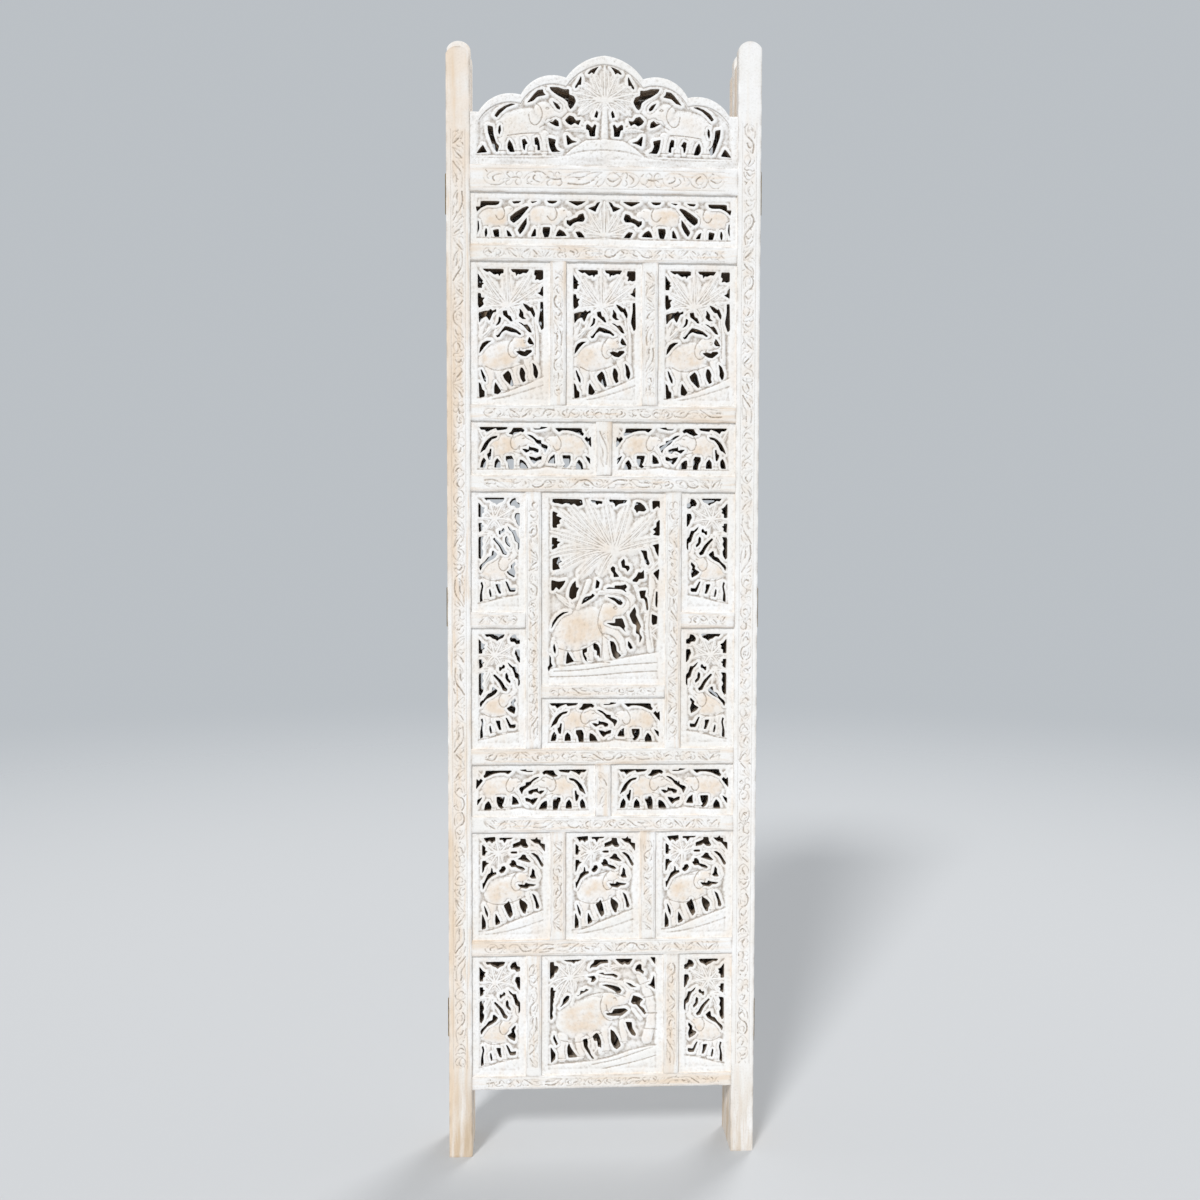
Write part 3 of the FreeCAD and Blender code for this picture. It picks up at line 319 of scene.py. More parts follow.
DRAWINGS = {
    "crest": {
        "grid": (216, 175),
        "halved": True,
        "worn": 0.35,
        "bodies": [
            [(152, 60, 25), (124, 64, 27)], [(98, 84, 17)],
            [(86, 84, 10), (72, 82, 7), (63, 88, 5.5), (64, 98, 5), (77, 109, 4.5), (92, 121, 4)],
            [(164, 44, 9), (164, 20, 7)], [(139, 42, 8), (139, 20, 6)],
            [(118, 44, 8), (118, 20, 6)], [(97, 48, 8), (97, 20, 6)], [(0, 44, 6), (0, 92, 5)],
            [(170, 66, 5), (174, 44, 3), (177, 24, 3)],
        ],
        "palms": [
            ((0, 104), [
                (0, 159), (21, 151), (40, 132), (58, 117), (60, 96), (42, 81), (20, 74),
            ], 12),
            ((22, 56), [(44, 76), (58, 68), (62, 56)], 6),
        ],
        "lines": [
            [(110, 98), (103, 92), (99, 80), (104, 68), (112, 62), (120, 68), (122, 80)],
            [(89, 90), (92, 92), (95, 90), (92, 88), (89, 90)], [(84, 72), (94, 66), (104, 60)],
            [(156, 46), (130, 50), (106, 51)], [(158, 22), (170, 22)], [(133, 22), (145, 22)],
            [(112, 22), (124, 22)], [(91, 22), (103, 22)],
        ],
        "hills": [
            [(0, 44), (30, 42), (50, 30), (64, 17), (216, 15)],
            [(0, 26), (40, 24), (70, 12), (216, 9)],
        ],
    },
    "frieze": {
        "grid": (216, 83),
        "halved": True,
        "bodies": [
            [(188, 43, 17), (168, 43, 17)], [(154, 52, 10)],
            [(149, 46, 6), (146, 33, 4), (136, 27, 3.5)], [(185, 26, 6), (185, 12, 5)],
            [(164, 26, 6), (163, 12, 5)], [(198, 26, 4), (197, 12, 4)],
            [(108, 46, 17), (86, 46, 17)], [(68, 50, 11)],
            [(58, 50, 6), (50, 34, 4), (52, 26, 4), (62, 24, 3)], [(104, 28, 6), (105, 12, 5)],
            [(83, 28, 6), (82, 12, 5)], [(124, 48, 4), (131, 38, 3), (141, 28, 3)],
        ],
        "palms": [((0, 16), [(0, 71), (27, 58), (54, 37), (46, 16)], 12)],
        "lines": [
            [(164, 60), (160, 52), (162, 42), (170, 38), (175, 46)], [(152, 56), (150, 57)],
            [(80, 60), (76, 52), (78, 42), (86, 38), (92, 46)], [(66, 55), (64, 56)],
        ],
        "hills": [[(0, 14), (28, 11), (216, 10.5)]],
    },
    "tall": {
        "grid": (129, 230),
        "bodies": [
            [(34, 76, 24), (58, 80, 24)], [(82, 98, 15)],
            [
                (90, 100, 9), (96, 110, 7), (92, 121, 6), (76, 128, 5), (58, 131, 5),
                (45, 121, 4.5), (41, 116, 4),
            ],
            [(31, 56, 10), (31, 22, 7)], [(46, 52, 8), (54, 25, 6)], [(74, 62, 8), (75, 34, 6)],
            [(93, 74, 8), (97, 42, 6)],
            [(107, 70, 5.5), (107, 104, 5), (104, 136, 5), (98, 166, 4.5)],
            [(16, 66, 5), (18, 84, 5)], [(36, 124, 4), (34, 150, 4)], [(20, 124, 4), (14, 110, 4)],
        ],
        "palms": [
            ((60, 158), [
                (17, 217), (59, 220), (99, 214), (118, 197), (119, 169), (10, 183), (11, 151),
                (42, 146), (72, 140),
            ], 14),
            ((16, 108), [(14, 142), (26, 138), (36, 128)], 7),
        ],
        "lines": [
            [(70, 108), (62, 98), (60, 84), (68, 74), (78, 80), (80, 92)],
            [(86, 103), (89, 104), (90, 101), (87, 100)], [(84, 90), (94, 92), (102, 96)],
            [(24, 62), (40, 54), (62, 58), (84, 66)], [(27, 16), (35, 16)], [(50, 24), (59, 22)],
            [(71, 31), (79, 31)], [(93, 40), (101, 39)],
            [(105, 78), (106, 104), (104, 130), (100, 158)],
        ],
        "hills": [
            [(0, 10), (30, 13), (60, 22), (96, 36), (129, 52)], [(24, 6), (70, 16), (129, 36)],
        ],
    },
    "pair": {
        "grid": (204, 87),
        "bodies": [
            [(38, 47, 21), (62, 47, 21)], [(80, 56, 13)],
            [(88, 55, 7), (104, 51, 5), (116, 41, 4.5), (112, 34, 4), (98, 33, 3.5)],
            [(32, 34, 7), (31, 13, 6)], [(53, 34, 7), (53, 13, 5)], [(75, 36, 7), (75, 13, 5)],
            [(150, 48, 20), (170, 48, 21)], [(133, 52, 12)],
            [(128, 44, 7), (122, 34, 5), (121, 25, 4), (112, 15, 4)], [(143, 36, 7), (145, 12, 6)],
            [(168, 34, 7), (167, 12, 5)], [(188, 40, 4), (190, 22, 3)], [(21, 40, 3), (26, 20, 3)],
        ],
        "palms": [
            ((22, 58), [(13, 74), (30, 76), (46, 77)], 6), ((182, 62), [(192, 74), (174, 76)], 6),
        ],
        "lines": [
            [(70, 66), (64, 56), (66, 44), (74, 40), (80, 48)], [(84, 59), (87, 60)],
            [(142, 64), (148, 54), (146, 42), (138, 40), (134, 48)], [(128, 57), (125, 58)],
            [(28, 15), (35, 15)], [(50, 15), (56, 15)], [(72, 15), (79, 15)],
            [(141, 15), (149, 15)], [(163, 14), (171, 14)], [(70, 38), (84, 34)],
        ],
        "hills": [[(0, 9), (100, 9), (122, 15), (150, 11), (204, 10)]],
    },
    "side": {
        "grid": (88, 197),
        "bodies": [
            [(28, 72, 19), (46, 70, 20)], [(58, 82, 12)], [(66, 88, 6), (72, 96, 5), (68, 104, 4)],
            [(24, 50, 8), (24, 20, 6)], [(36, 50, 6), (36, 24, 4)], [(52, 52, 8), (53, 26, 5)],
            [(44, 104, 4), (38, 124, 5)], [(62, 100, 4), (56, 124, 4)], [(70, 96, 4), (64, 124, 4)],
        ],
        "palms": [
            ((38, 152), [
                (11, 184), (30, 186), (55, 188), (72, 172), (71, 146), (12, 154), (52, 130),
                (24, 134),
            ], 9),
            ((30, 128), [(14, 86), (12, 126), (36, 106)], 8),
        ],
        "lines": [
            [(50, 90), (44, 82), (46, 70), (54, 66), (60, 74)], [(61, 86), (63, 87)],
            [(21, 20), (28, 20)], [(33, 26), (40, 26)], [(50, 26), (57, 26)],
            [(20, 56), (34, 50), (54, 54)],
        ],
        "hills": [[(0, 12), (30, 18), (60, 26), (88, 30)]],
    },
    "centre": {
        "grid": (203, 317),
        "bodies": [
            [(50, 90, 34), (80, 95, 34)], [(112, 116, 20)],
            [
                (126, 122, 11), (142, 128, 8), (148, 141, 7), (138, 152, 6), (116, 152, 5),
                (96, 152, 4.5),
            ],
            [(32, 66, 11), (32, 30, 8)], [(59, 66, 10), (60, 38, 7)], [(80, 66, 8), (81, 40, 5)],
            [(104, 76, 11), (106, 36, 8)], [(104, 92, 7), (122, 84, 7), (133, 70, 6), (136, 52, 5)],
            [(180, 56, 6), (174, 110, 6), (182, 160, 6), (182, 196, 6), (172, 228, 6)],
            [(166, 140, 5), (152, 168, 4), (130, 176, 4)], [(142, 120, 4), (148, 104, 4)],
            [(20, 76, 4), (15, 56, 4)], [(60, 126, 4), (78, 170, 5)],
        ],
        "palms": [
            ((119, 220), [
                (18, 292), (44, 298), (74, 304), (104, 306), (144, 302), (186, 284), (193, 240),
                (14, 252), (14, 214), (18, 182), (58, 174), (94, 178),
            ], 17),
            ((50, 130), [(24, 150), (44, 142)], 6),
            ((176, 188), [(194, 204), (164, 204), (196, 170), (158, 176)], 8),
            ((178, 132), [(196, 146), (162, 146), (196, 120), (164, 118)], 7),
            ((176, 84), [(194, 98), (160, 96), (190, 74)], 7),
            ((74, 34), [(66, 56), (76, 62), (84, 50)], 5),
        ],
        "lines": [
            [(100, 132), (94, 116), (92, 100), (98, 84), (110, 74)],
            [(136, 116), (148, 130), (140, 146), (122, 151), (96, 151)],
            [(100, 84), (114, 82), (124, 74), (129, 56)],
            [(118, 127), (122, 129), (125, 126), (121, 124), (118, 127)],
            [(28, 60), (48, 54), (70, 58), (90, 70)], [(96, 98), (100, 84), (100, 66), (98, 44)],
            [(26, 32), (38, 32)], [(54, 38), (66, 37)], [(77, 40), (86, 40)], [(99, 37), (113, 36)],
            [(132, 51), (142, 50)], [(20, 22), (70, 24), (120, 32), (190, 36)],
            [(14, 13), (80, 14), (140, 20), (190, 22)],
            [(182, 60), (176, 90), (178, 120), (184, 150)], [(172, 64), (168, 92), (172, 112)],
        ],
        "hills": [[(0, 24), (40, 32), (90, 36), (140, 46), (203, 56)]],
    },
    "flower": {
        "grid": (129, 180),
        "bodies": [
            [(44, 80, 25), (66, 82, 24)], [(86, 102, 14)],
            [
                (94, 100, 9), (106, 97, 6), (112, 106, 5), (108, 118, 5), (98, 125, 4.5),
                (80, 128, 4),
            ],
            [(32, 58, 10), (31, 24, 7)], [(49, 60, 8), (52, 32, 6)], [(73, 66, 8), (74, 40, 6)],
            [(94, 78, 8), (96, 48, 6)], [(66, 140, 4), (94, 148, 4), (112, 136, 4)],
            [(24, 120, 3), (30, 100, 4)], [(60, 158, 4), (90, 168, 3)],
            [(76, 150, 4), (104, 152, 4), (118, 136, 4)],
        ],
        "palms": [
            ((45, 145), [
                (13, 170), (39, 172), (63, 166), (12, 148), (12, 124), (26, 116), (44, 118),
                (64, 152),
            ], 8.5),
            ((108, 152), [(84, 158), (96, 168), (118, 160), (122, 140)], 7),
        ],
        "lines": [
            [(74, 112), (66, 102), (64, 90), (72, 80), (82, 86), (84, 98)],
            [(90, 107), (93, 108), (93, 105)], [(50, 106), (66, 111), (86, 116)],
            [(24, 64), (42, 58), (66, 62), (88, 72)], [(28, 20), (35, 20)], [(48, 30), (56, 29)],
            [(70, 38), (78, 37)], [(92, 46), (100, 45)],
        ],
        "hills": [
            [(0, 14), (30, 16), (60, 28), (96, 42), (129, 54)], [(20, 8), (70, 16), (129, 36)],
        ],
    },
    "bottom": {
        "grid": (203, 203),
        "bodies": [
            [(54, 92, 31), (88, 99, 32)], [(116, 122, 19)],
            [
                (130, 124, 10), (146, 128, 8), (149, 140, 7), (140, 150, 6), (120, 157, 5),
                (98, 160, 4.5),
            ],
            [(34, 62, 11), (34, 28, 8)], [(64, 64, 9), (66, 32, 7)], [(84, 68, 7), (88, 44, 4)],
            [(106, 76, 10), (108, 42, 7)], [(137, 86, 8), (138, 56, 6)],
            [
                (176, 58, 9), (184, 86, 9), (183, 118, 9), (174, 146, 8), (163, 172, 7),
                (172, 196, 6),
            ],
            [(152, 110, 4), (166, 92, 4)], [(176, 150, 5), (192, 168, 4)],
            [(50, 118, 4), (54, 134, 4)],
        ],
        "palms": [
            ((48, 164), [
                (24, 190), (42, 194), (73, 193), (12, 152), (14, 134), (24, 120), (52, 136),
                (82, 167),
            ], 10.5),
            ((112, 178), [(92, 187), (112, 190), (136, 184)], 7),
            ((82, 30), [(76, 50), (86, 54), (94, 44)], 5),
        ],
        "lines": [
            [(102, 132), (97, 116), (102, 98), (114, 88), (130, 92), (134, 106)],
            [(120, 128), (124, 129), (125, 125)], [(108, 118), (110, 106), (120, 98)],
            [(70, 130), (95, 138), (120, 138), (140, 130)],
            [(32, 58), (56, 52), (82, 60), (100, 70)], [(28, 27), (41, 27)], [(60, 30), (73, 30)],
            [(102, 38), (114, 38)], [(132, 54), (144, 53)], [(170, 76), (194, 74)],
            [(174, 102), (194, 102)], [(170, 128), (190, 132)], [(164, 150), (180, 156)],
            [(84, 16), (120, 22), (150, 32), (186, 44)], [(100, 8), (160, 20), (192, 30)],
        ],
        "hills": [[(0, 16), (60, 20), (110, 26), (150, 40), (203, 50)]],
    },
}

# The relief on the panels and the crest, in mm

GROUND_DEPTH = 1.7
BODY_TOP = 0.1
BODY_SWELL = 1.08
BODY_FORMED = 0.9
BARE_RADIUS = 15.0
BARE_SLOPE = 2.6
BARE_START = 0.25
LINE_WIDTH = 2.3
LINE_DEPTH = 0.85
HILL_DROP = 0.35
HILL_EDGE = 2.5
HILL_LINE_WIDTH = 3.4
HILL_LINE_DEPTH = 0.5


class Sketch:
    """Places of a drawing on its board, with one copy, or two for a halved drawing."""

    def __init__(self, drawing, field, flipped):
        width, height = drawing["grid"]
        self.low, self.high = field.board["low"], field.board["high"]
        wide, tall = self.high - self.low
        if drawing.get("halved"):
            self.scale = np.array([wide / 2 / width, tall / height])
            middle = (self.low[0] + self.high[0]) / 2
            self.frames = [(middle, -1), (middle, 1)]
        else:
            self.scale = np.array([wide / width, tall / height])
            self.frames = [(self.high[0], -1)] if flipped else [(self.low[0], 1)]
        self.size = float(self.scale.mean())

    def places(self, points):
        """A line's points in mm on the board, once for each copy."""
        across, up = self.scale
        for start, side in self.frames:
            yield [(start + side * p[0] * across, self.low[1] + p[1] * up) for p in points]


def raise_body(field, places, radii):
    """A rounded form along a line of places, raised out of the ground."""
    if len(places) == 1:
        places, radii = places * 2, radii * 2
    for start, end, first, last in zip(places, places[1:], radii, radii[1:]):
        reach = max(first, last)
        most = min(1.0, (reach / BARE_RADIUS) ** 2)
        for part, share, away in field.beside(start, end, reach):
            radius = first + share * (last - first)
            full = np.sqrt(np.clip(1 - (away / radius) ** 2, 0, 1))
            height = -GROUND_DEPTH + (GROUND_DEPTH - BODY_TOP) * np.minimum(BODY_SWELL * full, 1)
            keep = field.relief[part]
            field.relief[part] = np.where(away < radius, np.maximum(keep, height), keep)
            worn = most * np.clip(BARE_SLOPE * (1 - away / radius) - BARE_START, 0, 1)
            field.bare[part] = np.maximum(field.bare[part], worn)
            field.formed[part] |= away < BODY_FORMED * radius


RIB_POINTS = 7
RIB_ARCH = 0.12
RIB_SAG = 0.35


def rib_line(heart, tip):
    """A leaf's rib from its heart to its tip. Low ribs arch upward and high ones sag."""
    heart, tip = np.array(heart, float), np.array(tip, float)
    run = tip - heart
    bow = RIB_ARCH - RIB_SAG * run[1] / max(float(np.hypot(*run)), TINY)
    middle = (heart + tip) / 2 + np.array([0, bow * abs(run[0])])
    shares = np.linspace(0, 1, RIB_POINTS)
    return [(1 - t) ** 2 * heart + 2 * t * (1 - t) * middle + t * t * tip for t in shares]


# Of the pairs, the first number is where along a lobe something starts, as a share of its
# length, and the second over what share it grows.
PALM_TOP = 0.15
PALM_FALL = 1.5
PALM_FALL_POWER = 2.2
PALM_WORN = 0.22
LOBE_TIP = (0.35, 0.65)
LOBE_FULL = 1.04
LOBE_LEAST = 0.02
LOBE_SIDE = 1.2
LOBE_LINE_AT = 5.6
LOBE_LINE_CLOSING = 2
LOBE_LINE_HALF = 0.8
LOBE_LINE_DEPTH = 0.6
LOBE_LINE_START = (0.25, 0.2)
RIB_HALF = 1.2
RIB_GROOVE = 0.95
RIB_GROOVE_OFF = 0.9
RIB_GROOVE_HALF = 0.7
RIB_GROOVE_START = (0.06, 0.16)
RIB_GROOVE_FULL = 1.1
RIB_GROOVE_FADE = 0.6
TOOTH_PITCH = 6.5
TOOTH_SHARE = 0.13


def nearest_rib(x, z, ribs):
    """Each place's distance from the nearest rib, and how far along that rib it lies, in mm and
    as a share."""
    nearest = np.full(x.shape, FAR)
    runs, shares = np.zeros(x.shape), np.zeros(x.shape)
    for rib in ribs:
        lengths = [float(np.hypot(*(end - start))) for start, end in zip(rib, rib[1:])]
        total = sum(lengths)
        behind = 0.0
        for start, end, length in zip(rib, rib[1:], lengths):
            share, away = along_segment(x, z, start, end)
            near = away < nearest
            run = behind + share * length
            nearest = np.where(near, away, nearest)
            runs = np.where(near, run, runs)
            shares = np.where(near, run / total, shares)
            behind += length
    return nearest, runs, shares


def raise_palm(field, ribs, reach):
    """A hand-shaped leaf: lobes round its ribs, with valleys between them, a groove at each side
    of a rib and a line along each lobe."""
    points = np.concatenate(ribs)
    part = field.window(points.min(axis=0) - reach, points.max(axis=0) + reach)
    if part is None:
        return
    nearest, runs, shares = nearest_rib(field.x[part], field.z[part], ribs)
    taper = np.sqrt(np.clip(LOBE_FULL - grown(shares, *LOBE_TIP) ** 2, LOBE_LEAST, 1))
    teeth = 1 + TOOTH_SHARE * np.sin(2 * math.pi * runs / TOOTH_PITCH)
    side = np.clip(nearest / np.maximum(reach * taper, TINY), 0, LOBE_SIDE)
    height = -PALM_TOP - PALM_FALL * side ** PALM_FALL_POWER
    line = bump(nearest - LOBE_LINE_AT + LOBE_LINE_CLOSING * shares, LOBE_LINE_HALF)
    height -= LOBE_LINE_DEPTH * line * grown(shares, *LOBE_LINE_START)
    groove = bump(nearest - RIB_HALF - RIB_GROOVE_OFF, RIB_GROOVE_HALF)
    groove *= grown(shares, *RIB_GROOVE_START)
    height -= RIB_GROOVE * groove * (RIB_GROOVE_FULL - RIB_GROOVE_FADE * shares)
    height = np.where(nearest < RIB_HALF, np.maximum(height, -PALM_TOP), height)
    keep = field.relief[part]
    hit = nearest < reach * taper * teeth
    field.relief[part] = np.where(hit, np.maximum(keep, np.minimum(height, 0)), keep)
    worn = PALM_WORN * np.clip(LOBE_SIDE - side, 0, 1) * (1 - groove)
    field.bare[part] = np.where(hit, np.maximum(field.bare[part], worn), field.bare[part])


def raise_ground(field, places):
    """The ground under a line: raised, with a soft upper edge."""
    line = np.array(sorted(places))
    foot = field.low[1]
    edge = np.interp(field.x, line[:, 0], line[:, 1], left=foot, right=foot)
    share = grown(edge, field.z, HILL_EDGE)
    height = -GROUND_DEPTH + (GROUND_DEPTH - HILL_DROP) * share * (2 - share)
    field.relief = np.where(share > 0, np.maximum(field.relief, height), field.relief)


EDGE_LEVEL = 0.35
EDGE_BORDER = 3.6
EDGE_SLOPE = 3.0
CONTOUR_AT = 4.3
CONTOUR_HALF = 0.75
CONTOUR_DEPTH = 0.5
CONTOUR_BARE_FROM = 1.5
CONTOUR_BARE_LEAST = 0.1


def keep_edges(field):
    """Leaves the wood high along every opening, with a knife line inside that border on the
    bodies, and little bare wood outside the line."""
    share = grown(field.hole_distance, EDGE_BORDER, EDGE_SLOPE)
    border = -EDGE_LEVEL - (GROUND_DEPTH - EDGE_LEVEL) * share
    field.relief = np.where(share < 1, np.maximum(field.relief, border), field.relief)
    off = field.hole_distance - CONTOUR_AT
    field.cut = np.maximum(field.cut, CONTOUR_DEPTH * bump(off, CONTOUR_HALF) * field.formed)
    field.bare *= np.clip(off / CONTOUR_BARE_FROM, CONTOUR_BARE_LEAST, 1)


PANEL_SPREAD = 0.8
# How strongly the panels darken in their hollows: crevice dirt and painted shade.
PANEL_DIRT_AND_SHADE = 1.15
PANEL_WAVES = ((0.16, 8.0), (0.07, 3.6))
PANEL_SEED = 50
PANEL_SEED_STEP = 7
MARGIN_SLOPE = 6.0
EDGE_FALL = 0.35
EDGE_REACH = 0.7
JOINT_STAIN_REACH = 3.0
JOINT_STAIN_SIZE = 60.0
JOINT_STAIN_MOST = 0.9


def carve_drawing(field, name, flipped, margins, seed):
    """Fills a field's relief, cuts and marks from a drawing. margins holds the flat border's
    width at the sides, the foot and the top."""
    drawing = DRAWINGS[name]
    sketch = Sketch(drawing, field, flipped)
    field.relief[:] = -GROUND_DEPTH
    for line in drawing["hills"]:
        for places in sketch.places(line):
            raise_ground(field, places)
            field.groove(smooth_line(places), HILL_LINE_WIDTH, HILL_LINE_DEPTH)
    for heart, tips, reach in drawing["palms"]:
        by_tip = [[rib_line(*ends) for ends in sketch.places([heart, tip])] for tip in tips]
        for ribs in zip(*by_tip):
            raise_palm(field, ribs, reach * sketch.size)
    for body in drawing["bodies"]:
        for places in sketch.places(body):
            raise_body(field, places, [point[2] * sketch.size for point in body])
    for line in drawing["lines"]:
        for places in sketch.places(line):
            field.groove(smooth_line(places), LINE_WIDTH, LINE_DEPTH)
    keep_edges(field)
    side, foot, top = margins
    from_side = np.minimum(field.x - sketch.low[0], sketch.high[0] - field.x)
    from_foot = field.z - sketch.low[1]
    border = np.minimum(from_side - side, from_foot - foot)
    border = np.minimum(border, field.z[-1][None, :] - field.z - top)
    flat = np.clip(1 - border / MARGIN_SLOPE, 0, 1)
    rim = -GROUND_DEPTH * (1 - flat)
    field.relief = np.where(flat > 0, np.maximum(field.relief, rim), field.relief)
    field.cut = np.where(border < 0, 0, field.cut)
    field.bare = np.where(border < 0, 0, field.bare * drawing.get("worn", 1.0))
    outer = np.clip(1 - np.minimum(from_side, from_foot) / JOINT_STAIN_REACH, 0, 1)
    edge_mark = np.clip(soft_noise(field, JOINT_STAIN_SIZE, seed + 2), 0, JOINT_STAIN_MOST)
    field.bare = np.maximum(field.bare, outer * edge_mark)
    for index, (rise, size) in enumerate(PANEL_WAVES):
        field.relief += rise * soft_noise(field, size, seed + index) - rise
    field.finish(PANEL_DIRT_AND_SHADE)
    field.depth += EDGE_FALL * np.exp(-field.hole_distance / EDGE_REACH)


# Knife cuts on the posts, rails and mullions. Each motif is a group of leaves, buds and curls, on
# a grid that runs from 0 to 1 along the member and from -1 to 1 across the carved band.

MOTIFS = [
    {
        "deep": [
            [(0.08, -0.1), (0.16, 0.28), (0.26, 0.12), (0.35, -0.15)],
            [(0.64, -0.5), (0.72, -0.2), (0.73, 0.2), (0.64, 0.5)],
        ],
        "fine": [
            [(0.0, 0.0), (0.05, 0.62), (0.2, 0.98), (0.34, 0.66), (0.42, 0.0)],
            [(0.0, 0.0), (0.07, -0.56), (0.22, -0.98), (0.35, -0.6), (0.42, 0.0)],
            [(0.42, 0.0), (0.44, 0.64), (0.51, 0.94), (0.58, 0.52), (0.53, 0.14)],
            [(0.42, 0.0), (0.45, -0.58), (0.52, -0.94), (0.58, -0.55), (0.54, -0.1)],
            [
                (0.6, -0.92), (0.72, -0.84), (0.84, -0.46), (0.87, 0.0), (0.83, 0.5), (0.72, 0.88),
                (0.6, 0.9),
            ],
            [(0.87, 0.0), (0.92, 0.5), (1.0, 0.62)], [(0.87, 0.0), (0.93, -0.4), (1.0, -0.66)],
        ],
    },
    {
        "deep": [
            [(0.05, -0.6), (0.14, -0.15), (0.24, 0.4), (0.37, 0.76)],
            [(0.55, 0.64), (0.63, 0.2), (0.74, -0.34), (0.88, -0.68)],
        ],
        "fine": [
            [(0.0, -0.86), (0.01, -0.1), (0.14, 0.7), (0.42, 0.94)],
            [(0.0, -0.86), (0.17, -0.82), (0.32, -0.05), (0.42, 0.94)],
            [(0.5, 0.88), (0.51, 0.1), (0.66, -0.66), (0.95, -0.9)],
            [(0.5, 0.88), (0.7, 0.8), (0.86, 0.05), (0.95, -0.9)],
            [(0.36, -0.9), (0.44, -0.6), (0.42, -0.1), (0.47, 0.2)],
            [(0.46, -0.94), (0.55, -0.76), (0.56, -0.4)],
            [(0.84, 0.92), (0.93, 0.7), (0.92, 0.2), (0.98, -0.1)], [(0.72, 0.95), (0.8, 0.72)],
        ],
    },
    {
        "deep": [
            [(0.08, 0.0), (0.2, 0.14), (0.32, -0.02), (0.44, -0.16)],
            [(0.6, 0.42), (0.7, 0.3), (0.78, -0.05), (0.74, -0.38)],
        ],
        "fine": [
            [(0.08, 0.1), (0.02, 0.55), (0.11, 0.94), (0.2, 0.6), (0.15, 0.2)],
            [(0.24, 0.25), (0.24, 0.78), (0.35, 0.96), (0.42, 0.5), (0.33, 0.1)],
            [(0.08, -0.1), (0.03, -0.62), (0.13, -0.94), (0.21, -0.55), (0.16, -0.12)],
            [(0.24, -0.2), (0.26, -0.74), (0.38, -0.94), (0.42, -0.5), (0.34, -0.2)],
            [(0.44, -0.1), (0.5, 0.55), (0.66, 0.92), (0.85, 0.72), (0.93, 0.2), (0.86, -0.15)],
            [(0.48, -0.5), (0.6, -0.92), (0.8, -0.9), (0.95, -0.56), (1.0, 0.0)],
            [(0.56, -0.1), (0.62, -0.5)],
        ],
    },
    {
        "deep": [
            [(0.02, 0.84), (0.2, 0.3), (0.36, -0.4), (0.6, -0.8), (0.94, -0.62)],
            [(0.5, 0.3), (0.64, 0.1), (0.78, 0.24), (0.9, 0.1)],
        ],
        "fine": [
            [(0.14, 0.92), (0.42, 0.78), (0.52, 0.2), (0.72, -0.36)],
            [(0.36, 0.95), (0.62, 0.9), (0.86, 0.62), (1.0, 0.04)],
            [(0.0, -0.2), (0.07, -0.74), (0.28, -0.95)], [(0.06, 0.16), (0.16, -0.2), (0.2, -0.62)],
            [(0.4, -0.94), (0.52, -0.96)], [(0.7, 0.55), (0.82, 0.5), (0.9, 0.34)],
        ],
    },
    {
        "deep": [
            [(0.02, -0.4), (0.16, -0.88), (0.42, -0.62), (0.5, 0.1), (0.68, 0.84), (0.98, 0.55)],
            [(0.66, -0.44), (0.8, -0.2), (0.82, 0.2), (0.74, 0.45)],
        ],
        "fine": [
            [(0.6, -0.92), (0.84, -0.78), (0.97, -0.2)],
            [(0.02, 0.1), (0.08, 0.72), (0.3, 0.95), (0.46, 0.8)],
            [(0.12, -0.2), (0.26, -0.42), (0.33, 0.0), (0.26, 0.3)],
            [(0.14, 0.34), (0.24, 0.62), (0.4, 0.5)], [(0.9, 0.1), (0.98, 0.2)],
        ],
    },
]
# A stroke's width and depth, in mm. Names in the plural hold ranges that chance picks from.
MOTIF_STROKES = {"deep": (2.9, 1.3), "fine": (2.5, 0.66)}
MOTIF_STRETCH = 4.9
MOTIF_GAP = 1.0
MOTIF_FILL = 0.95
MOTIF_LEAN = 0.05
MOTIF_STRENGTHS = (0.7, 1.15)
# How strongly the knife cuts darken in their hollows: crevice dirt and painted shade.
MOTIF_DIRT_AND_SHADE = 0.95
MOTIF_WORN = 0.4
MOTIF_PATCHES = (0.5, 24.0)
STROKE_WIDTHS = (0.85, 1.2)
STROKE_DEPTHS = (0.75, 1.2)
STROKE_FADE = 0.5
CHIPS = 5
CHIP_WIDTH = 2.0
CHIP_DEPTH = 0.95
CHIP_DEPTHS = (0.4, 1.2)
CHIP_ALONG = (0.04, 0.96)
CHIP_ACROSS = (-0.9, 0.9)
CHIP_TURNS = (-1.0, 1.0)
CHIP_REACHES = (0.8, 2.0)
BAND_LINE_OFF = 1.6
BAND_LINE_WIDTH = 1.6
BAND_LINE_DEPTH = 0.35
MEMBER_WAVES = ((0.14, 30.0), (0.07, 4.0))
MEMBER_DROP = 0.21
# A dark line in patches along a member's edges and ends, where it meets the next part: stain and
# painted shade.
EDGE_STAIN_AND_SHADE = 0.75
EDGE_STAIN_AND_SHADE_REACH = 1.5
EDGE_STAIN_AND_SHADE_PATCHES = (0.55, 26.0)
ARRIS_FALL = 1.2
ARRIS_REACH = 1.3
ARRIS_MOST = 2.0
ARRIS_CHANGE = 0.5
ARRIS_SIZE = 40.0
CORNER_SHARE = 0.25
CORNER_ROUNDS = 2


def smooth_line(points):
    """A line with its inner corners cut."""
    points = [np.array(point, float) for point in points]
    if len(points) < 3:
        return [tuple(point) for point in points]
    for _ in range(CORNER_ROUNDS):
        cut = [points[0]]
        for start, end in zip(points, points[1:]):
            run = end - start
            cut += [start + CORNER_SHARE * run, start + (1 - CORNER_SHARE) * run]
        points = cut + [points[-1]]
    return [tuple(point) for point in points]


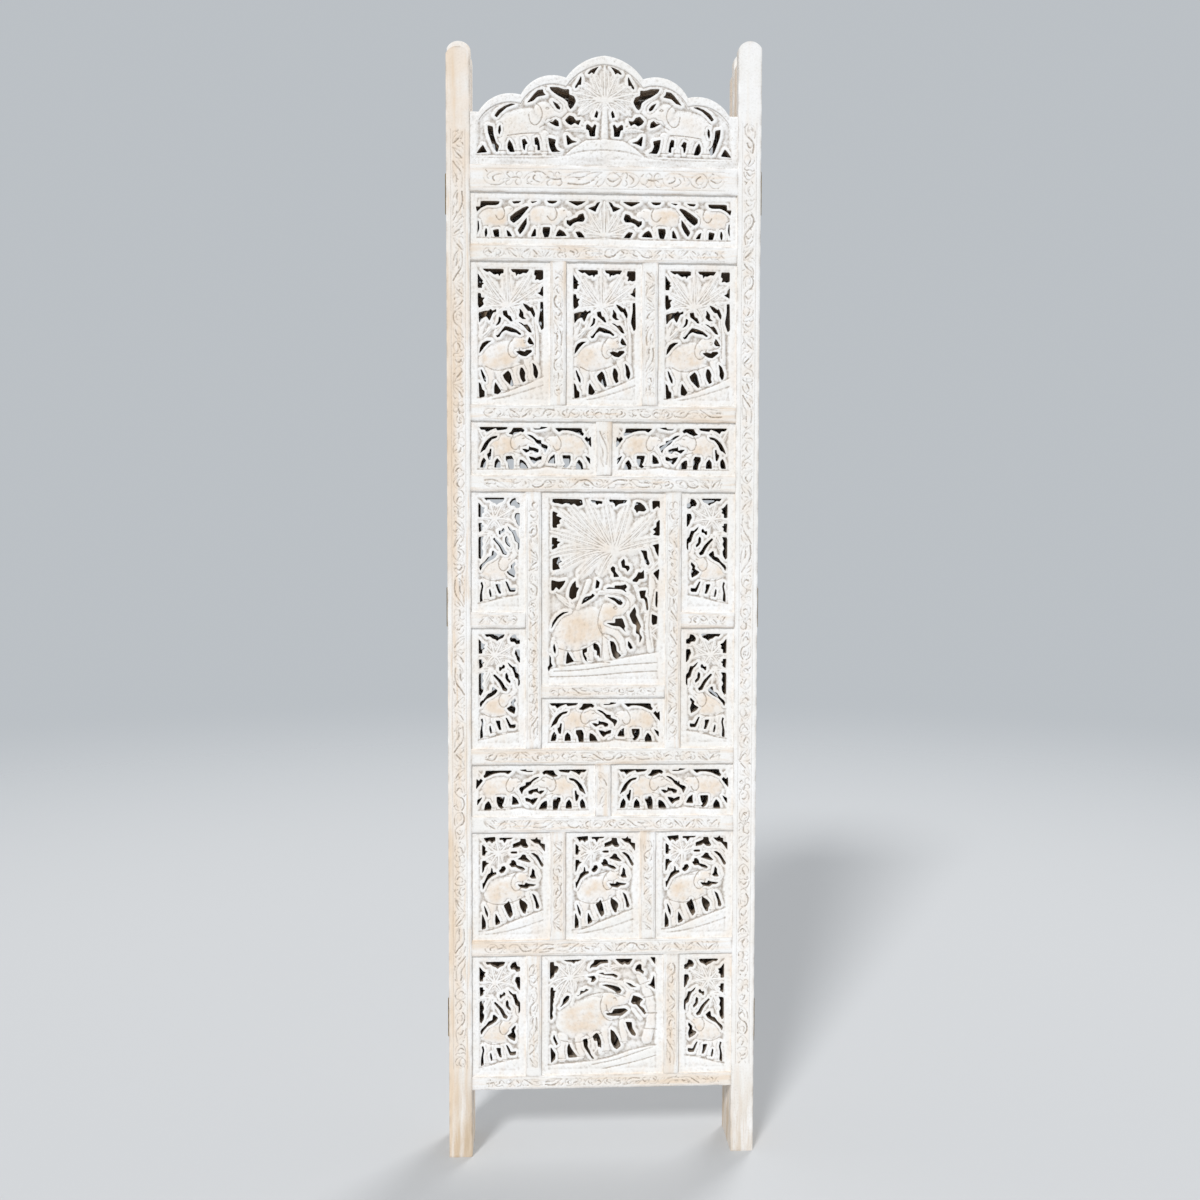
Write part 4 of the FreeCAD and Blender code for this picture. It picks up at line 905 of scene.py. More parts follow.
def cut_motif(cut, local, start, length, middle, band):
    """One motif of the band, by chance turned, flipped, leaned and cut deep or shallow. Each
    stroke is deeper in one half."""
    motif = MOTIFS[int(local.integers(0, len(MOTIFS)))]
    turned, flipped = local.integers(0, 2, 2)
    strength = local.uniform(*MOTIF_STRENGTHS)
    for kind, line in [(kind, line) for kind, lines in motif.items() for line in lines]:
        lean, lift = local.uniform(-MOTIF_LEAN, MOTIF_LEAN, 2)
        spots = []
        for u, v in smooth_line(line):
            u = (1 - u if turned else u) + lean * v
            v = (-v if flipped else v) * MOTIF_FILL + lift
            spots.append((start + u * length, middle + v * band))
        width = MOTIF_STROKES[kind][0] * local.uniform(*STROKE_WIDTHS)
        deep = MOTIF_STROKES[kind][1] * strength * local.uniform(*STROKE_DEPTHS)
        half = len(spots) // 2
        halves = [spots[:half + 1], spots[half:]]
        if local.integers(0, 2):
            halves.reverse()
        cut(halves[0], width, deep)
        cut(halves[1], width, STROKE_FADE * deep)


def cut_chip(cut, local, start, length, middle, band):
    """A short cut anywhere on a motif."""
    along = start + length * local.uniform(*CHIP_ALONG)
    across = middle + band * local.uniform(*CHIP_ACROSS)
    turn = local.uniform(*CHIP_TURNS)
    reach = local.uniform(*CHIP_REACHES)
    run, rise = reach * math.cos(turn), reach * math.sin(turn)
    spots = [(along - run, across - rise), (along + run, across + rise)]
    cut(spots, CHIP_WIDTH, CHIP_DEPTH * local.uniform(*CHIP_DEPTHS))


def carve_member(field, upright, ends, band, seed):
    """The knife cuts and the worn edges of a post, rail or mullion. ends is the range along its
    length, in mm from its low end, that is carved, and band is the carved band's half width."""
    local = np.random.default_rng(seed)
    axis = 1 if upright else 0
    low, high = field.board["low"], field.board["high"]
    middle = (low[1 - axis] + high[1 - axis]) / 2

    def cut(spots, width, deep):
        """A groove through spots that are given as along and across the member."""
        field.groove([spot[::-1] if upright else spot for spot in spots], width, deep)

    count = max(1, int(round((ends[1] - ends[0]) / (MOTIF_STRETCH * band))))
    pitch = (ends[1] - ends[0]) / count
    for index in range(count):
        start = low[axis] + ends[0] + index * pitch + MOTIF_GAP / 2
        cut_motif(cut, local, start, pitch - MOTIF_GAP, middle, band)
        for _ in range(CHIPS):
            cut_chip(cut, local, start, pitch - MOTIF_GAP, middle, band)
    for side in (-1, 1):
        across = middle + side * (band + BAND_LINE_OFF)
        cut([(low[axis] + end, across) for end in ends], BAND_LINE_WIDTH, BAND_LINE_DEPTH)
    field.relief = -MEMBER_DROP + sum(
        rise * soft_noise(field, size, seed + 2 + index)
        for index, (rise, size) in enumerate(MEMBER_WAVES)
    )
    field.finish(MOTIF_DIRT_AND_SHADE)
    along = (field.z if upright else field.x) - low[axis]
    sides = field.x if upright else field.z
    from_edge = np.minimum(sides - low[1 - axis], high[1 - axis] - sides)
    to_end = np.minimum(along, high[axis] - low[axis] - along)
    # A dark line along the edges and ends: stain and painted shade where the parts meet.
    edge_mark = EDGE_STAIN_AND_SHADE * np.exp(-np.minimum(from_edge, to_end) / EDGE_STAIN_AND_SHADE_REACH)
    field.grime_and_shade = np.maximum(field.grime_and_shade, edge_mark * patches(field, *EDGE_STAIN_AND_SHADE_PATCHES, seed + 5))
    carved = (along > ends[0]) & (along < ends[1]) & (np.abs(sides - middle) < band)
    field.bare = MOTIF_WORN * carved * patches(field, *MOTIF_PATCHES, seed + 4)
    worn = 1 + ARRIS_CHANGE * soft_noise(field, ARRIS_SIZE, seed + 1)
    field.depth += np.clip(ARRIS_FALL * np.exp(-from_edge / ARRIS_REACH) * worn, 0, ARRIS_MOST)


# From a field to a closed mesh

# The marks of a corner. The first darkens: dirt and painted shade. raw is for unpainted backs, and
# hole for the edges of openings.
MARKS = ("grime_and_shade", "bare", "raw", "hole")
# The walls of openings are darkened strongly: painted shade.
OPENING_SHADE_MARKS = (1.3, 0.35, 0.0, 1.0)
PANEL_BACK_MARKS = (0.15, 0.0, 1.0, 0.0)
EDGE_MARKS = (0.08, 0.45, 0.0, 0.0)
# A face is a wall if its normal leans forward or back by less than this. It belongs to an
# opening or to the outside by the share of its corners that lie at openings.
WALL_SLOPE = 0.2
OPENING_SHARE = 0.5
OUTSIDE_SHARE = 0.1
KEEP_SHARE = 0.27
SHARP_DEGREES = 36
NORMAL_WEIGHT = 80
ARRIS_STEP = 0.3
INWARD_LEAST = 0.5
CAP_SLACK = 1e-5


class Builder:
    """Collects the corners and faces of a piece made of one or more boards, in mm."""

    def __init__(self):
        self.corners = []
        self.faces = []
        self.marks = []
        self.count = 0

    def add(self, corners, faces, marks):
        """Adds corners in mm, faces, and each corner's marks, as MARKS names them."""
        self.corners.append(corners)
        self.marks.append(marks)
        self.faces += [[index + self.count for index in face] for face in faces]
        self.count += len(corners)

    def mesh(self, name):
        """The finished mesh in metres, with fewer faces where the surface is flat."""
        corners = np.concatenate(self.corners) * MM
        mesh = bpy.data.meshes.new(name)
        mesh.from_pydata(corners.tolist(), [], self.faces)
        mesh.update()
        for mark, values in zip(MARKS, np.concatenate(self.marks).T):
            write_mark(mesh, mark, "POINT", values)
        mesh = changed(mesh, "DECIMATE", ratio=KEEP_SHARE)
        settle(mesh, corners.min(axis=0), corners.max(axis=0))
        even_walls(mesh)
        mesh.shade_smooth()
        mesh.set_sharp_from_angle(angle=math.radians(SHARP_DEGREES))
        return changed(mesh, "WEIGHTED_NORMAL", keep_sharp=True, weight=NORMAL_WEIGHT)


def write_mark(mesh, mark, domain, values):
    layer = mesh.attributes.new(mark, "FLOAT", domain)
    layer.data.foreach_set("value", np.ascontiguousarray(values, np.float32))


def changed(mesh, kind, **values):
    """The same mesh with a modifier applied."""
    maker = bpy.data.objects.new("maker", mesh)
    bpy.context.scene.collection.objects.link(maker)
    modifier = maker.modifiers.new("change", kind)
    for name, value in values.items():
        setattr(modifier, name, value)
    graph = bpy.context.evaluated_depsgraph_get()
    done = bpy.data.meshes.new_from_object(
        maker.evaluated_get(graph), preserve_all_data_layers=True, depsgraph=graph)
    done.name = mesh.name
    bpy.data.objects.remove(maker)
    bpy.data.meshes.remove(mesh)
    return done


def settle(mesh, low, high):
    """Keeps every corner inside the piece's own box."""
    places = np.clip(read(mesh.vertices, "co", 3), low, high)
    mesh.vertices.foreach_set("co", places.ravel())
    mesh.update()


def even_walls(mesh):
    """Gives each wall one even mark from the front edge to the back, where the marks of the front
    and the back end: painted shade, dark, on the walls of openings, and pale round the outside."""
    normals = read(mesh.polygons, "normal", 3, np.float32)
    sizes = read(mesh.polygons, "loop_total", kind=np.int32)
    corners = read(mesh.loops, "vertex_index", kind=np.int32)
    face = np.repeat(np.arange(len(sizes)), sizes)
    values = {}
    for mark in MARKS:
        values[mark] = read(mesh.attributes[mark].data, "value", kind=np.float32)[corners]
        mesh.attributes.remove(mesh.attributes[mark])
    share = np.zeros(len(sizes))
    np.add.at(share, face, values.pop("hole"))
    share /= sizes
    wall = np.abs(normals[:, 1]) < WALL_SLOPE
    opening = (wall & (share > OPENING_SHARE))[face]
    outside = (wall & (share < OUTSIDE_SHARE))[face]
    for (mark, value), dark, pale in zip(values.items(), OPENING_SHADE_MARKS, EDGE_MARKS):
        value = np.where(opening, dark, np.where(outside, pale, value))
        write_mark(mesh, mark, "CORNER", value)


def front_surface(field):
    """Corners (x, z), their depth and marks, and the faces of a field's wood. The corners on the
    edges of openings come last."""
    wood = field.inside > 0
    count = int(wood.sum())
    number = np.full(wood.shape, -1)
    number[wood] = np.arange(count)
    places = np.stack([field.x[wood], field.z[wood]], axis=1).tolist()
    depths = field.depth[wood].tolist()
    unmarked = np.zeros(count)
    marks = [field.grime_and_shade[wood], field.bare[wood], unmarked, unmarked]
    marks = np.stack(marks, axis=1).tolist()
    quads = [number[:-1, :-1], number[:-1, 1:], number[1:, 1:], number[1:, :-1]]
    quads = np.stack(quads, axis=-1)
    whole = (quads >= 0).all(axis=-1)
    broken = (quads >= 0).any(axis=-1) & ~whole
    faces = quads[whole].tolist()
    crossings = {}

    def crossing(a, b):
        """The corner where the opening's edge crosses a grid line between two places."""
        key = (a, b) if a < b else (b, a)
        if key not in crossings:
            near, far = field.inside[key[0]], field.inside[key[1]]
            share = near / (near - far)

            def between(values):
                return float(values[key[0]] + share * (values[key[1]] - values[key[0]]))

            crossings[key] = len(places)
            places.append([between(field.x), between(field.z)])
            depths.append(between(field.depth))
            marks.append([between(field.grime_and_shade), between(field.bare), 0.0, 1.0])
        return crossings[key]

    for row, column in np.argwhere(broken).tolist():
        ring = [(row, column), (row, column + 1), (row + 1, column + 1), (row + 1, column)]
        face = []
        for here, after in zip(ring, ring[1:] + ring[:1]):
            if wood[here]:
                face.append(int(number[here]))
            if wood[here] != wood[after]:
                face.append(crossing(here, after))
        if len(face) > 2:
            faces.append(face)
    return np.array(places), np.array(depths), np.array(marks), faces


def open_edges(faces):
    """The directed edges that only one face uses."""
    edges = set()
    for face in faces:
        for start, end in zip(face, face[1:] + face[:1]):
            edges.add((start, end))
    return [(start, end) for start, end in edges if (end, start) not in edges]


def inward(places, edges):
    """For each corner on an edge, the direction into the wood."""
    directions = {}
    for start, end in edges:
        run = places[end] - places[start]
        normal = np.array([-run[1], run[0]]) / max(float(np.hypot(*run)), TINY)
        for corner in (start, end):
            directions[corner] = directions.get(corner, np.zeros(2)) + normal
    return {
        corner: value / max(float(np.hypot(*value)), INWARD_LEAST)
        for corner, value in directions.items()
    }


def at_depth(places, y):
    """Corners from places (x, z) and their y."""
    return np.column_stack([places[:, 0], np.broadcast_to(y, len(places)), places[:, 1]])


def flat_cap(ring, edges):
    """Fills the outlines that edges make on a ring of places. Gives the places that this adds,
    and the triangles in the wood, whose numbers count the ring first."""
    points = [Vector(place) for place in ring.tolist()]
    places, _, triangles, sources, _, _ = delaunay_2d_cdt(points, edges, [], 1, CAP_SLACK)
    places = np.array([tuple(place) for place in places])
    numbers = [source[0] if source else None for source in sources]
    added = [index for index, number in enumerate(numbers) if number is None]
    for index, corner in enumerate(added):
        numbers[corner] = len(ring) + index
    middles = places[np.array(triangles)].mean(axis=1)
    in_wood = within(middles[:, 0], middles[:, 1], [(ring[a], ring[b]) for a, b in edges])
    kept = [triangle for triangle, wood in zip(triangles, in_wood.tolist()) if wood]
    return places[added], [[numbers[corner] for corner in triangle] for triangle in kept]


def add_board(builder, field, arris):
    """Adds a closed board: its carved front, its walls and a flat back, which is rounded at its
    edges by arris, in mm. A board without an arris is a panel with an unpainted back."""
    places, depths, front_marks, faces = front_surface(field)
    front, back = field.board["front"], field.board["back"]
    edges = open_edges(faces)
    rim = sorted({corner for edge in edges for corner in edge})
    order = {corner: index for index, corner in enumerate(rim)}
    plain_back = EDGE_MARKS if arris else PANEL_BACK_MARKS
    back_marks = np.tile(plain_back, (len(rim), 1))
    back_marks[:, MARKS.index("hole")] = np.array(rim) >= int((field.inside > 0).sum())
    corners = [at_depth(places, front + depths)]
    marks = [front_marks]
    levels = [(back, 0.0)]
    if arris:
        step = ARRIS_STEP * arris
        levels = [(back - arris, 0.0), (back - step, step), (back, arris)]
    into = inward(places, edges)
    shift = np.array([into[corner] for corner in rim])
    above = {corner: corner for corner in rim}
    base = len(places)
    for y, inset in levels:
        ring = places[rim] + inset * shift
        corners.append(at_depth(ring, y))
        marks.append(back_marks)
        below = {corner: base + order[corner] for corner in rim}
        faces += [[above[end], above[start], below[start], below[end]] for start, end in edges]
        above = below
        base += len(rim)
    base -= len(rim)
    added, triangles = flat_cap(ring, [(order[start], order[end]) for start, end in edges])
    corners.append(at_depth(added, back))
    marks.append(np.tile(plain_back, (len(added), 1)))
    faces += [[base + corner for corner in reversed(triangle)] for triangle in triangles]
    builder.add(np.concatenate(corners), faces, np.concatenate(marks))


# Materials. Colours are linear, and the scales of noises are per metre.


class Nodes:
    """Short ways to add nodes to a material or a world."""

    def __init__(self, owner):
        owner.use_nodes = True
        self.nodes = owner.node_tree.nodes
        self.links = owner.node_tree.links

    def add(self, kind, inputs):
        """A new node. Each input is a number, a tuple or a colour, or another node's output."""
        node = self.nodes.new(kind)
        for name, value in inputs.items():
            self.feed(node.inputs[name], value)
        return node

    def feed(self, socket, value):
        if isinstance(value, bpy.types.NodeSocket):
            self.links.new(value, socket)
        elif socket.type == "RGBA":
            socket.default_value = (*value, 1)
        else:
            socket.default_value = value

    def noise(self, vector, scale, detail, roughness):
        inputs = {"Vector": vector, "Scale": scale, "Detail": detail, "Roughness": roughness}
        return self.add("ShaderNodeTexNoise", inputs).outputs["Fac"]

    def ramp(self, value, low, high):
        """The value spread smoothly from 0 at low to 1 at high."""
        inputs = {"Value": value, "From Min": low, "From Max": high}
        node = self.add("ShaderNodeMapRange", inputs)
        node.interpolation_type = "SMOOTHSTEP"
        return node.outputs["Result"]

    def between(self, value, low, high):
        """Low where the value is 0, and high where it is 1."""
        inputs = {"Value": value, "To Min": low, "To Max": high}
        return self.add("ShaderNodeMapRange", inputs).outputs["Result"]

    def mix(self, share, first, second):
        node = self.add("ShaderNodeMix", {"Factor": share})
        node.data_type = "RGBA"
        sockets = [socket for socket in node.inputs if socket.type == "RGBA"]
        self.feed(sockets[0], first)
        self.feed(sockets[1], second)
        return [socket for socket in node.outputs if socket.type == "RGBA"][0]

    def mark(self, name):
        node = self.nodes.new("ShaderNodeAttribute")
        node.attribute_name = name
        return node.outputs["Fac"]

    def maths(self, operation, *values):
        node = self.add("ShaderNodeMath", dict(enumerate(values)))
        node.operation = operation
        return node.outputs[0]

    def times(self, first, second):
        return self.maths("MULTIPLY", first, second)

    def stretched(self, vector, scales):
        inputs = {"Vector": vector, "Scale": scales}
        return self.add("ShaderNodeMapping", inputs).outputs["Vector"]

    def mix_shaders(self, share, first, second):
        inputs = {0: share, 1: first.outputs[0], 2: second.outputs[0]}
        return self.add("ShaderNodeMixShader", inputs).outputs[0]


def new_material(name, base, roughness):
    """A material, its nodes, its shader, and the place on the object that patterns follow."""
    material = bpy.data.materials.new(name)
    tree = Nodes(material)
    shader = tree.nodes["Principled BSDF"]
    tree.feed(shader.inputs["Base Color"], base)
    tree.feed(shader.inputs["Roughness"], roughness)
    place = tree.nodes.new("ShaderNodeTexCoord").outputs["Object"]
    return material, tree, shader, place


WASH = (0.885, 0.87, 0.84)
CHALK = (0.92, 0.915, 0.905)
DUST = (0.62, 0.59, 0.54)
TAN = (0.80, 0.63, 0.46)
# CREVICE is the colour that corners darken toward: dirt, and painted shade in hollows and on the
# walls of openings.
CREVICE = (0.27, 0.205, 0.145)
FOOT = (0.60, 0.47, 0.33)
RAW_DARK = (0.24, 0.165, 0.105)
RAW_PALE = (0.40, 0.30, 0.205)
RAW_WASH = 0.5
RAW_GRAIN = (1.0, 1.0, 0.06)
# Each pattern's scale, detail and roughness
STREAKS = (110.0, 5.0, 0.62)
LONG_PATCHES = (26.0, 4.0, 0.6)
ROUND_PATCHES = (11.0, 4.0, 0.6)
BLOTCHES = (34.0, 4.0, 0.62)
SPECKS = (300.0, 4.0, 0.6)
RAW_LINES = (170.0, 5.0, 0.65)
RAW_STROKES = (60.0, 4.0, 0.6)
# The parts of a pattern's range over which each effect grows from nothing to full
CHALK_SPREAD = (0.40, 0.60)
DUST_SPREAD = (0.52, 0.78)
THIN_SPREAD = (0.48, 0.74)
BALD_SPREAD = (0.50, 0.70)
RUBBED_SPREAD = (0.34, 0.66)
FOOT_SPREAD = (0.26, 0.62)
CROWN_SPREAD = (0.34, 0.60)
OUTER_SPREAD = (0.30, 0.62)
RAW_SPREAD = (0.34, 0.66)
RAW_WASH_SPREAD = (0.44, 0.70)
DIRT_AND_SHADE_SPREAD = (0.30, 0.60)
# The range and the least share of rubbed wood, and of the darkening by the corners' first mark:
# dirt and painted shade
RUBBED = (0.62, 0.12)
DIRT_AND_SHADE = (0.38, 0.44)
THIN_SHARE = 0.8
WASH_ROUGHNESS = (0.72, 0.92)
WASH_BUMP = 0.4
WASH_BUMP_DEPTH = 0.0015
SPECK_BUMP = 0.5
# Where a post's worn foot, crown and outer edge begin and are full, in metres
FOOT_HEIGHTS = (0.19, 0.02)
CROWN_HEIGHTS = (1.54, 1.66)
OUTER_PLACES = (-0.226, -0.250)


def whitewash(name, grain, warmth, dust=0.5, foot=0.0, outer=0.0, crown=0.0):
    """Worn whitewash over wood. grain stretches the pattern, as x, y and z scales. warmth is how
    much the wood shows through, and dust how grey it is. foot shows more wood near the floor,
    crown near the top, and outer along the edge on the left."""
    material, tree, shader, place = new_material(name, WASH, WASH_ROUGHNESS[0])
    grained = tree.stretched(place, grain)
    streaks = tree.noise(grained, *STREAKS)
    long_patches = tree.noise(grained, *LONG_PATCHES)
    round_patches = tree.noise(place, *ROUND_PATCHES)
    blotches = tree.noise(place, *BLOTCHES)
    specks = tree.noise(place, *SPECKS)
    colour = tree.mix(tree.ramp(round_patches, *CHALK_SPREAD), WASH, CHALK)
    colour = tree.mix(tree.times(tree.ramp(specks, *DUST_SPREAD), dust), colour, DUST)
    thin = tree.times(tree.ramp(streaks, *THIN_SPREAD), warmth * THIN_SHARE)
    bald = tree.times(tree.ramp(long_patches, *BALD_SPREAD), warmth)
    colour = tree.mix(tree.maths("MAXIMUM", thin, bald), colour, TAN)
    rubbed = tree.maths("MULTIPLY_ADD", tree.ramp(blotches, *RUBBED_SPREAD), *RUBBED)
    colour = tree.mix(tree.times(tree.mark("bare"), rubbed), colour, TAN)
    axes = tree.add("ShaderNodeSeparateXYZ", {"Vector": place}).outputs
    for amount, axis, spots, pattern, spread, wood in (
        (foot, "Z", FOOT_HEIGHTS, streaks, FOOT_SPREAD, FOOT),
        (crown, "Z", CROWN_HEIGHTS, round_patches, CROWN_SPREAD, TAN),
        (outer, "X", OUTER_PLACES, long_patches, OUTER_SPREAD, TAN),
    ):
        if amount:
            worn = tree.times(tree.ramp(axes[axis], *spots), tree.ramp(pattern, *spread))
            colour = tree.mix(tree.times(worn, amount), colour, wood)
    straight = tree.stretched(place, RAW_GRAIN)
    lines = tree.noise(straight, *RAW_LINES)
    strokes = tree.noise(straight, *RAW_STROKES)
    raw = tree.mix(tree.ramp(lines, *RAW_SPREAD), RAW_DARK, RAW_PALE)
    raw = tree.mix(tree.times(tree.ramp(strokes, *RAW_WASH_SPREAD), RAW_WASH), raw, DUST)
    colour = tree.mix(tree.mark("raw"), colour, raw)
    # Darkens toward CREVICE by the corners' first mark: dirt and painted shade in hollows, painted
    # shade on the walls of openings.
    share = tree.maths("MULTIPLY_ADD", tree.ramp(specks, *DIRT_AND_SHADE_SPREAD), *DIRT_AND_SHADE)
    colour = tree.mix(tree.times(tree.mark("grime_and_shade"), share), colour, CREVICE)
    tree.feed(shader.inputs["Base Color"], colour)
    tree.feed(shader.inputs["Roughness"], tree.between(specks, *WASH_ROUGHNESS))
    height = tree.maths("ADD", streaks, tree.times(specks, SPECK_BUMP))
    inputs = {"Height": height, "Strength": WASH_BUMP, "Distance": WASH_BUMP_DEPTH}
    tree.feed(shader.inputs["Normal"], tree.add("ShaderNodeBump", inputs).outputs["Normal"])
    return material


BRASS = (0.42, 0.30, 0.14)
BRASS_DARK = (0.17, 0.12, 0.07)
BRASS_STAINS = (120.0, 5.0, 0.6)
BRASS_SPREAD = (0.38, 0.68)
BRASS_ROUGHNESS = (0.34, 0.66)


def hinge_metal():
    """Dull brass, darker and rougher in patches."""
    material, tree, shader, place = new_material("hinge_metal", BRASS, BRASS_ROUGHNESS[0])
    tree.feed(shader.inputs["Metallic"], 1.0)
    edge_mark = tree.ramp(tree.noise(place, *BRASS_STAINS), *BRASS_SPREAD)
    tree.feed(shader.inputs["Base Color"], tree.mix(edge_mark, BRASS, BRASS_DARK))
    tree.feed(shader.inputs["Roughness"], tree.between(edge_mark, *BRASS_ROUGHNESS))
    return material


UPRIGHT = (1.0, 1.0, 0.10)
CROSSWISE = (0.10, 1.0, 1.0)
PANEL_GRAIN = (0.6, 1.0, 0.4)
materials = {
    "left_post": whitewash("whitewash_left_post", UPRIGHT, 0.9, foot=1.0, outer=0.8, crown=0.55),
    "right_post": whitewash("whitewash_right_post", UPRIGHT, 0.25, foot=0.6),
    "rail": whitewash("whitewash_rail", CROSSWISE, 0.8),
    "mullion": whitewash("whitewash_mullion", UPRIGHT, 0.7),
    "panel": whitewash("whitewash_panel", PANEL_GRAIN, 0.3),
    "crest": whitewash("whitewash_crest", PANEL_GRAIN, 0.15, dust=0.95),
    "hinge": hinge_metal(),
}


# The pieces of one leaf

# The flat border's width at the sides, the foot and the top
PANEL_MARGINS = (10.0, 8.5, 9.0)
CREST_MARGINS = (9.0, 10.0, 13.0)
CREST_SEED = 5
CREST_BEAD_AT = 14.5
CREST_BEAD_HALF = 1.1
CREST_BEAD_DEPTH = 0.9
CREST_BEAD_ABOVE = 70
# How dark the bead's groove is: dirt and painted shade.
CREST_BEAD_DIRT_AND_SHADE = 0.8
CREST_FALL = 1.3
CREST_FALL_REACH = 1.5
CREST_BAND = 15.0
CREST_BAND_FADE = 3.0
CREST_BAND_DIRT = 0.42
CREST_STREAKS = (0.35, 5.0, 61, 16.0)


def carved_panels(node, drawings):
    """Fields of a node's boards. drawings names each board's drawing and whether it is flipped."""
    fields = []
    for index, (board, (name, flipped)) in enumerate(zip(boards_of("leaf_1_" + node), drawings)):
        field = Field(board, PANEL_SPREAD)
        seed = PANEL_SEED + PANEL_SEED_STEP * index
        carve_drawing(field, name, flipped, PANEL_MARGINS, seed)
        fields.append(field)
    return fields


def carved_crest():
    """The crest's field, with a bead along its lobed edge, darkened in its groove as dirt and
    painted shade, and grime along its foot.
    """
    field = Field(boards_of("leaf_1_crest_board")[0])
    carve_drawing(field, "crest", False, CREST_MARGINS, CREST_SEED)
    from_top = field.z[-1][None, :] - field.z
    from_foot = field.z - field.low[1]
    bead = bump(from_top - CREST_BEAD_AT, CREST_BEAD_HALF) * (from_foot > CREST_BEAD_ABOVE)
    field.depth += CREST_BEAD_DEPTH * bead
    # The bead's groove is darkened: dirt and painted shade.
    field.grime_and_shade = np.maximum(field.grime_and_shade, CREST_BEAD_DIRT_AND_SHADE * bead)
    streaks = patches(field, *CREST_STREAKS)
    band = grown(CREST_BAND, from_foot, CREST_BAND_FADE)
    field.grime_and_shade = np.maximum(field.grime_and_shade, CREST_BAND_DIRT * streaks * band)
    field.depth += CREST_FALL * np.exp(-from_top / CREST_FALL_REACH)
    return [field]


# Of each post, rail and mullion: whether it is upright, its seed, how much stays uncarved at the
# low and high end, in mm, how much of the width is carved, its material and its back's arris
MEMBERS = {
    "left_post": (True, 11, (150.0, 130.0), 0.52, "left_post", 1.6),
    "right_post": (True, 23, (150.0, 130.0), 0.52, "right_post", 1.6),
    "rails": (False, 31, (21.0, 21.0), 0.62, "rail", 1.2),
    "short_rails": (False, 301, (13.0, 13.0), 0.62, "rail", 1.2),
    "mullions": (True, 401, (14.0, 14.0), 0.62, "mullion", 1.2),
}
MEMBER_SEED_STEP = 17
# Of each kind of panel: its boards' drawings, from the top left, and whether they are flipped
PANELS = {
    "frieze_panel": [("frieze", False)],
    "tall_panels": [("tall", False)] * 3,
    "centre_panel": [("centre", False)],
    "side_panels": [("side", False), ("side", True)] * 3,
    "pair_panels": [("pair", False), ("pair", True)] * 2 + [("pair", False)],
    "lower_panels": [("flower", False)] * 3 + [("bottom", False)],
}


def members(node, upright, seed, plain, share):
    """Fields of a node's posts, rails or mullions."""
    axis = 1 if upright else 0
    fields = []
    for index, board in enumerate(boards_of("leaf_1_" + node)):
        field = Field(board)
        size = board["high"] - board["low"]
        ends = (plain[0], size[axis] - plain[1])
        band = share * size[1 - axis] / 2
        carve_member(field, upright, ends, band, seed + MEMBER_SEED_STEP * index)
        fields.append(field)
    return fields


leaf_meshes = {}


def keep_piece(node, fields, material, arris):
    builder = Builder()
    for field in fields:
        add_board(builder, field, arris)
    leaf_meshes[node] = builder.mesh(node + "_carved")
    leaf_meshes[node].materials.append(materials[material])


for node, (upright, seed, plain, share, material, arris) in MEMBERS.items():
    keep_piece(node, members(node, upright, seed, plain, share), material, arris)
keep_piece("crest_board", carved_crest(), "crest", 0.0)
for node, drawings in PANELS.items():
    keep_piece(node, carved_panels(node, drawings), "panel", 0.0)


# All four leaves, each with its pieces on its own body


def leaf_place(leaf):
    """Where a leaf's pieces go, from the first leaf's place. Every second leaf is turned round."""
    low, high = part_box("leaf_1_left_post")
    first = (low.y + high.y) / 2
    low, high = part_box("leaf_%d_left_post" % leaf)
    here = (low.y + high.y) / 2
    turn = Matrix.Rotation(math.pi if leaf % 2 == 0 else 0.0, 4, "Z")
    return Matrix.Translation((0, here, 0)) @ turn @ Matrix.Translation((0, -first, 0))


for leaf in range(1, LEAVES + 1):
    body = "leaf_%d" % leaf
    place = leaf_place(leaf)
    for node, mesh in leaf_meshes.items():
        piece = bpy.data.objects.new("%s_%s_carved" % (body, node), mesh)
        bpy.context.scene.collection.objects.link(piece)
        piece.matrix_world = place
        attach(piece, body)
        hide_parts("%s_%s" % (body, node))

HINGE_SHARP_DEGREES = 35
for name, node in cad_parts.items():
    if "hinge" in name:
        for slot in node.material_slots:
            slot.material = materials["hinge"]
        node.data.shade_smooth()
        node.data.set_sharp_from_angle(angle=math.radians(HINGE_SHARP_DEGREES))


# The floor, the lights and the camera

FLOOR_SIZE = 24.0
FLOOR_PALE = (0.55, 0.56, 0.57)
FLOOR_ROUGHNESS = 0.95
FLOOR_CLEAR_FROM = 1.4
FLOOR_CLEAR_TO = 6.0
SKY_SEEN = (0.50, 0.53, 0.56)
SKY_LIGHT = (0.93, 0.96, 1.0)
SKY_STRENGTH = 0.485
# Each sun's name, the direction that it stands in, its strength and its width in degrees
SUNS = (
    ("key", (-0.34, -0.80, 0.68), 2.29, 11.0),
    ("back", (0.5, 0.8, 0.6), 1.6, 25.0),
)
# The photograph's camera, in the frame of the upright screen, with its angles in degrees
CAMERA_PLACE = (-0.1064, -2.0255, 1.0244)
CAMERA_YAW = -2.912
CAMERA_PITCH = -2.782
CAMERA_ROLL = -0.138
FOCAL_PIXELS = 1212.45
PHOTO_PIXELS = 1200
SENSOR_MM = 36.0


def floor_material():
    """Pale, and thinning out to the backdrop away from the object."""
    material, tree, shader, place = new_material("floor", FLOOR_PALE, FLOOR_ROUGHNESS)
    length = tree.add("ShaderNodeVectorMath", {0: place})
    length.operation = "LENGTH"
    share = tree.ramp(length.outputs["Value"], FLOOR_CLEAR_FROM, FLOOR_CLEAR_TO)
    clear = tree.add("ShaderNodeBsdfTransparent", {})
    output = [node for node in tree.nodes if node.bl_idname == "ShaderNodeOutputMaterial"][0]
    tree.feed(output.inputs["Surface"], tree.mix_shaders(share, shader, clear))
    return material


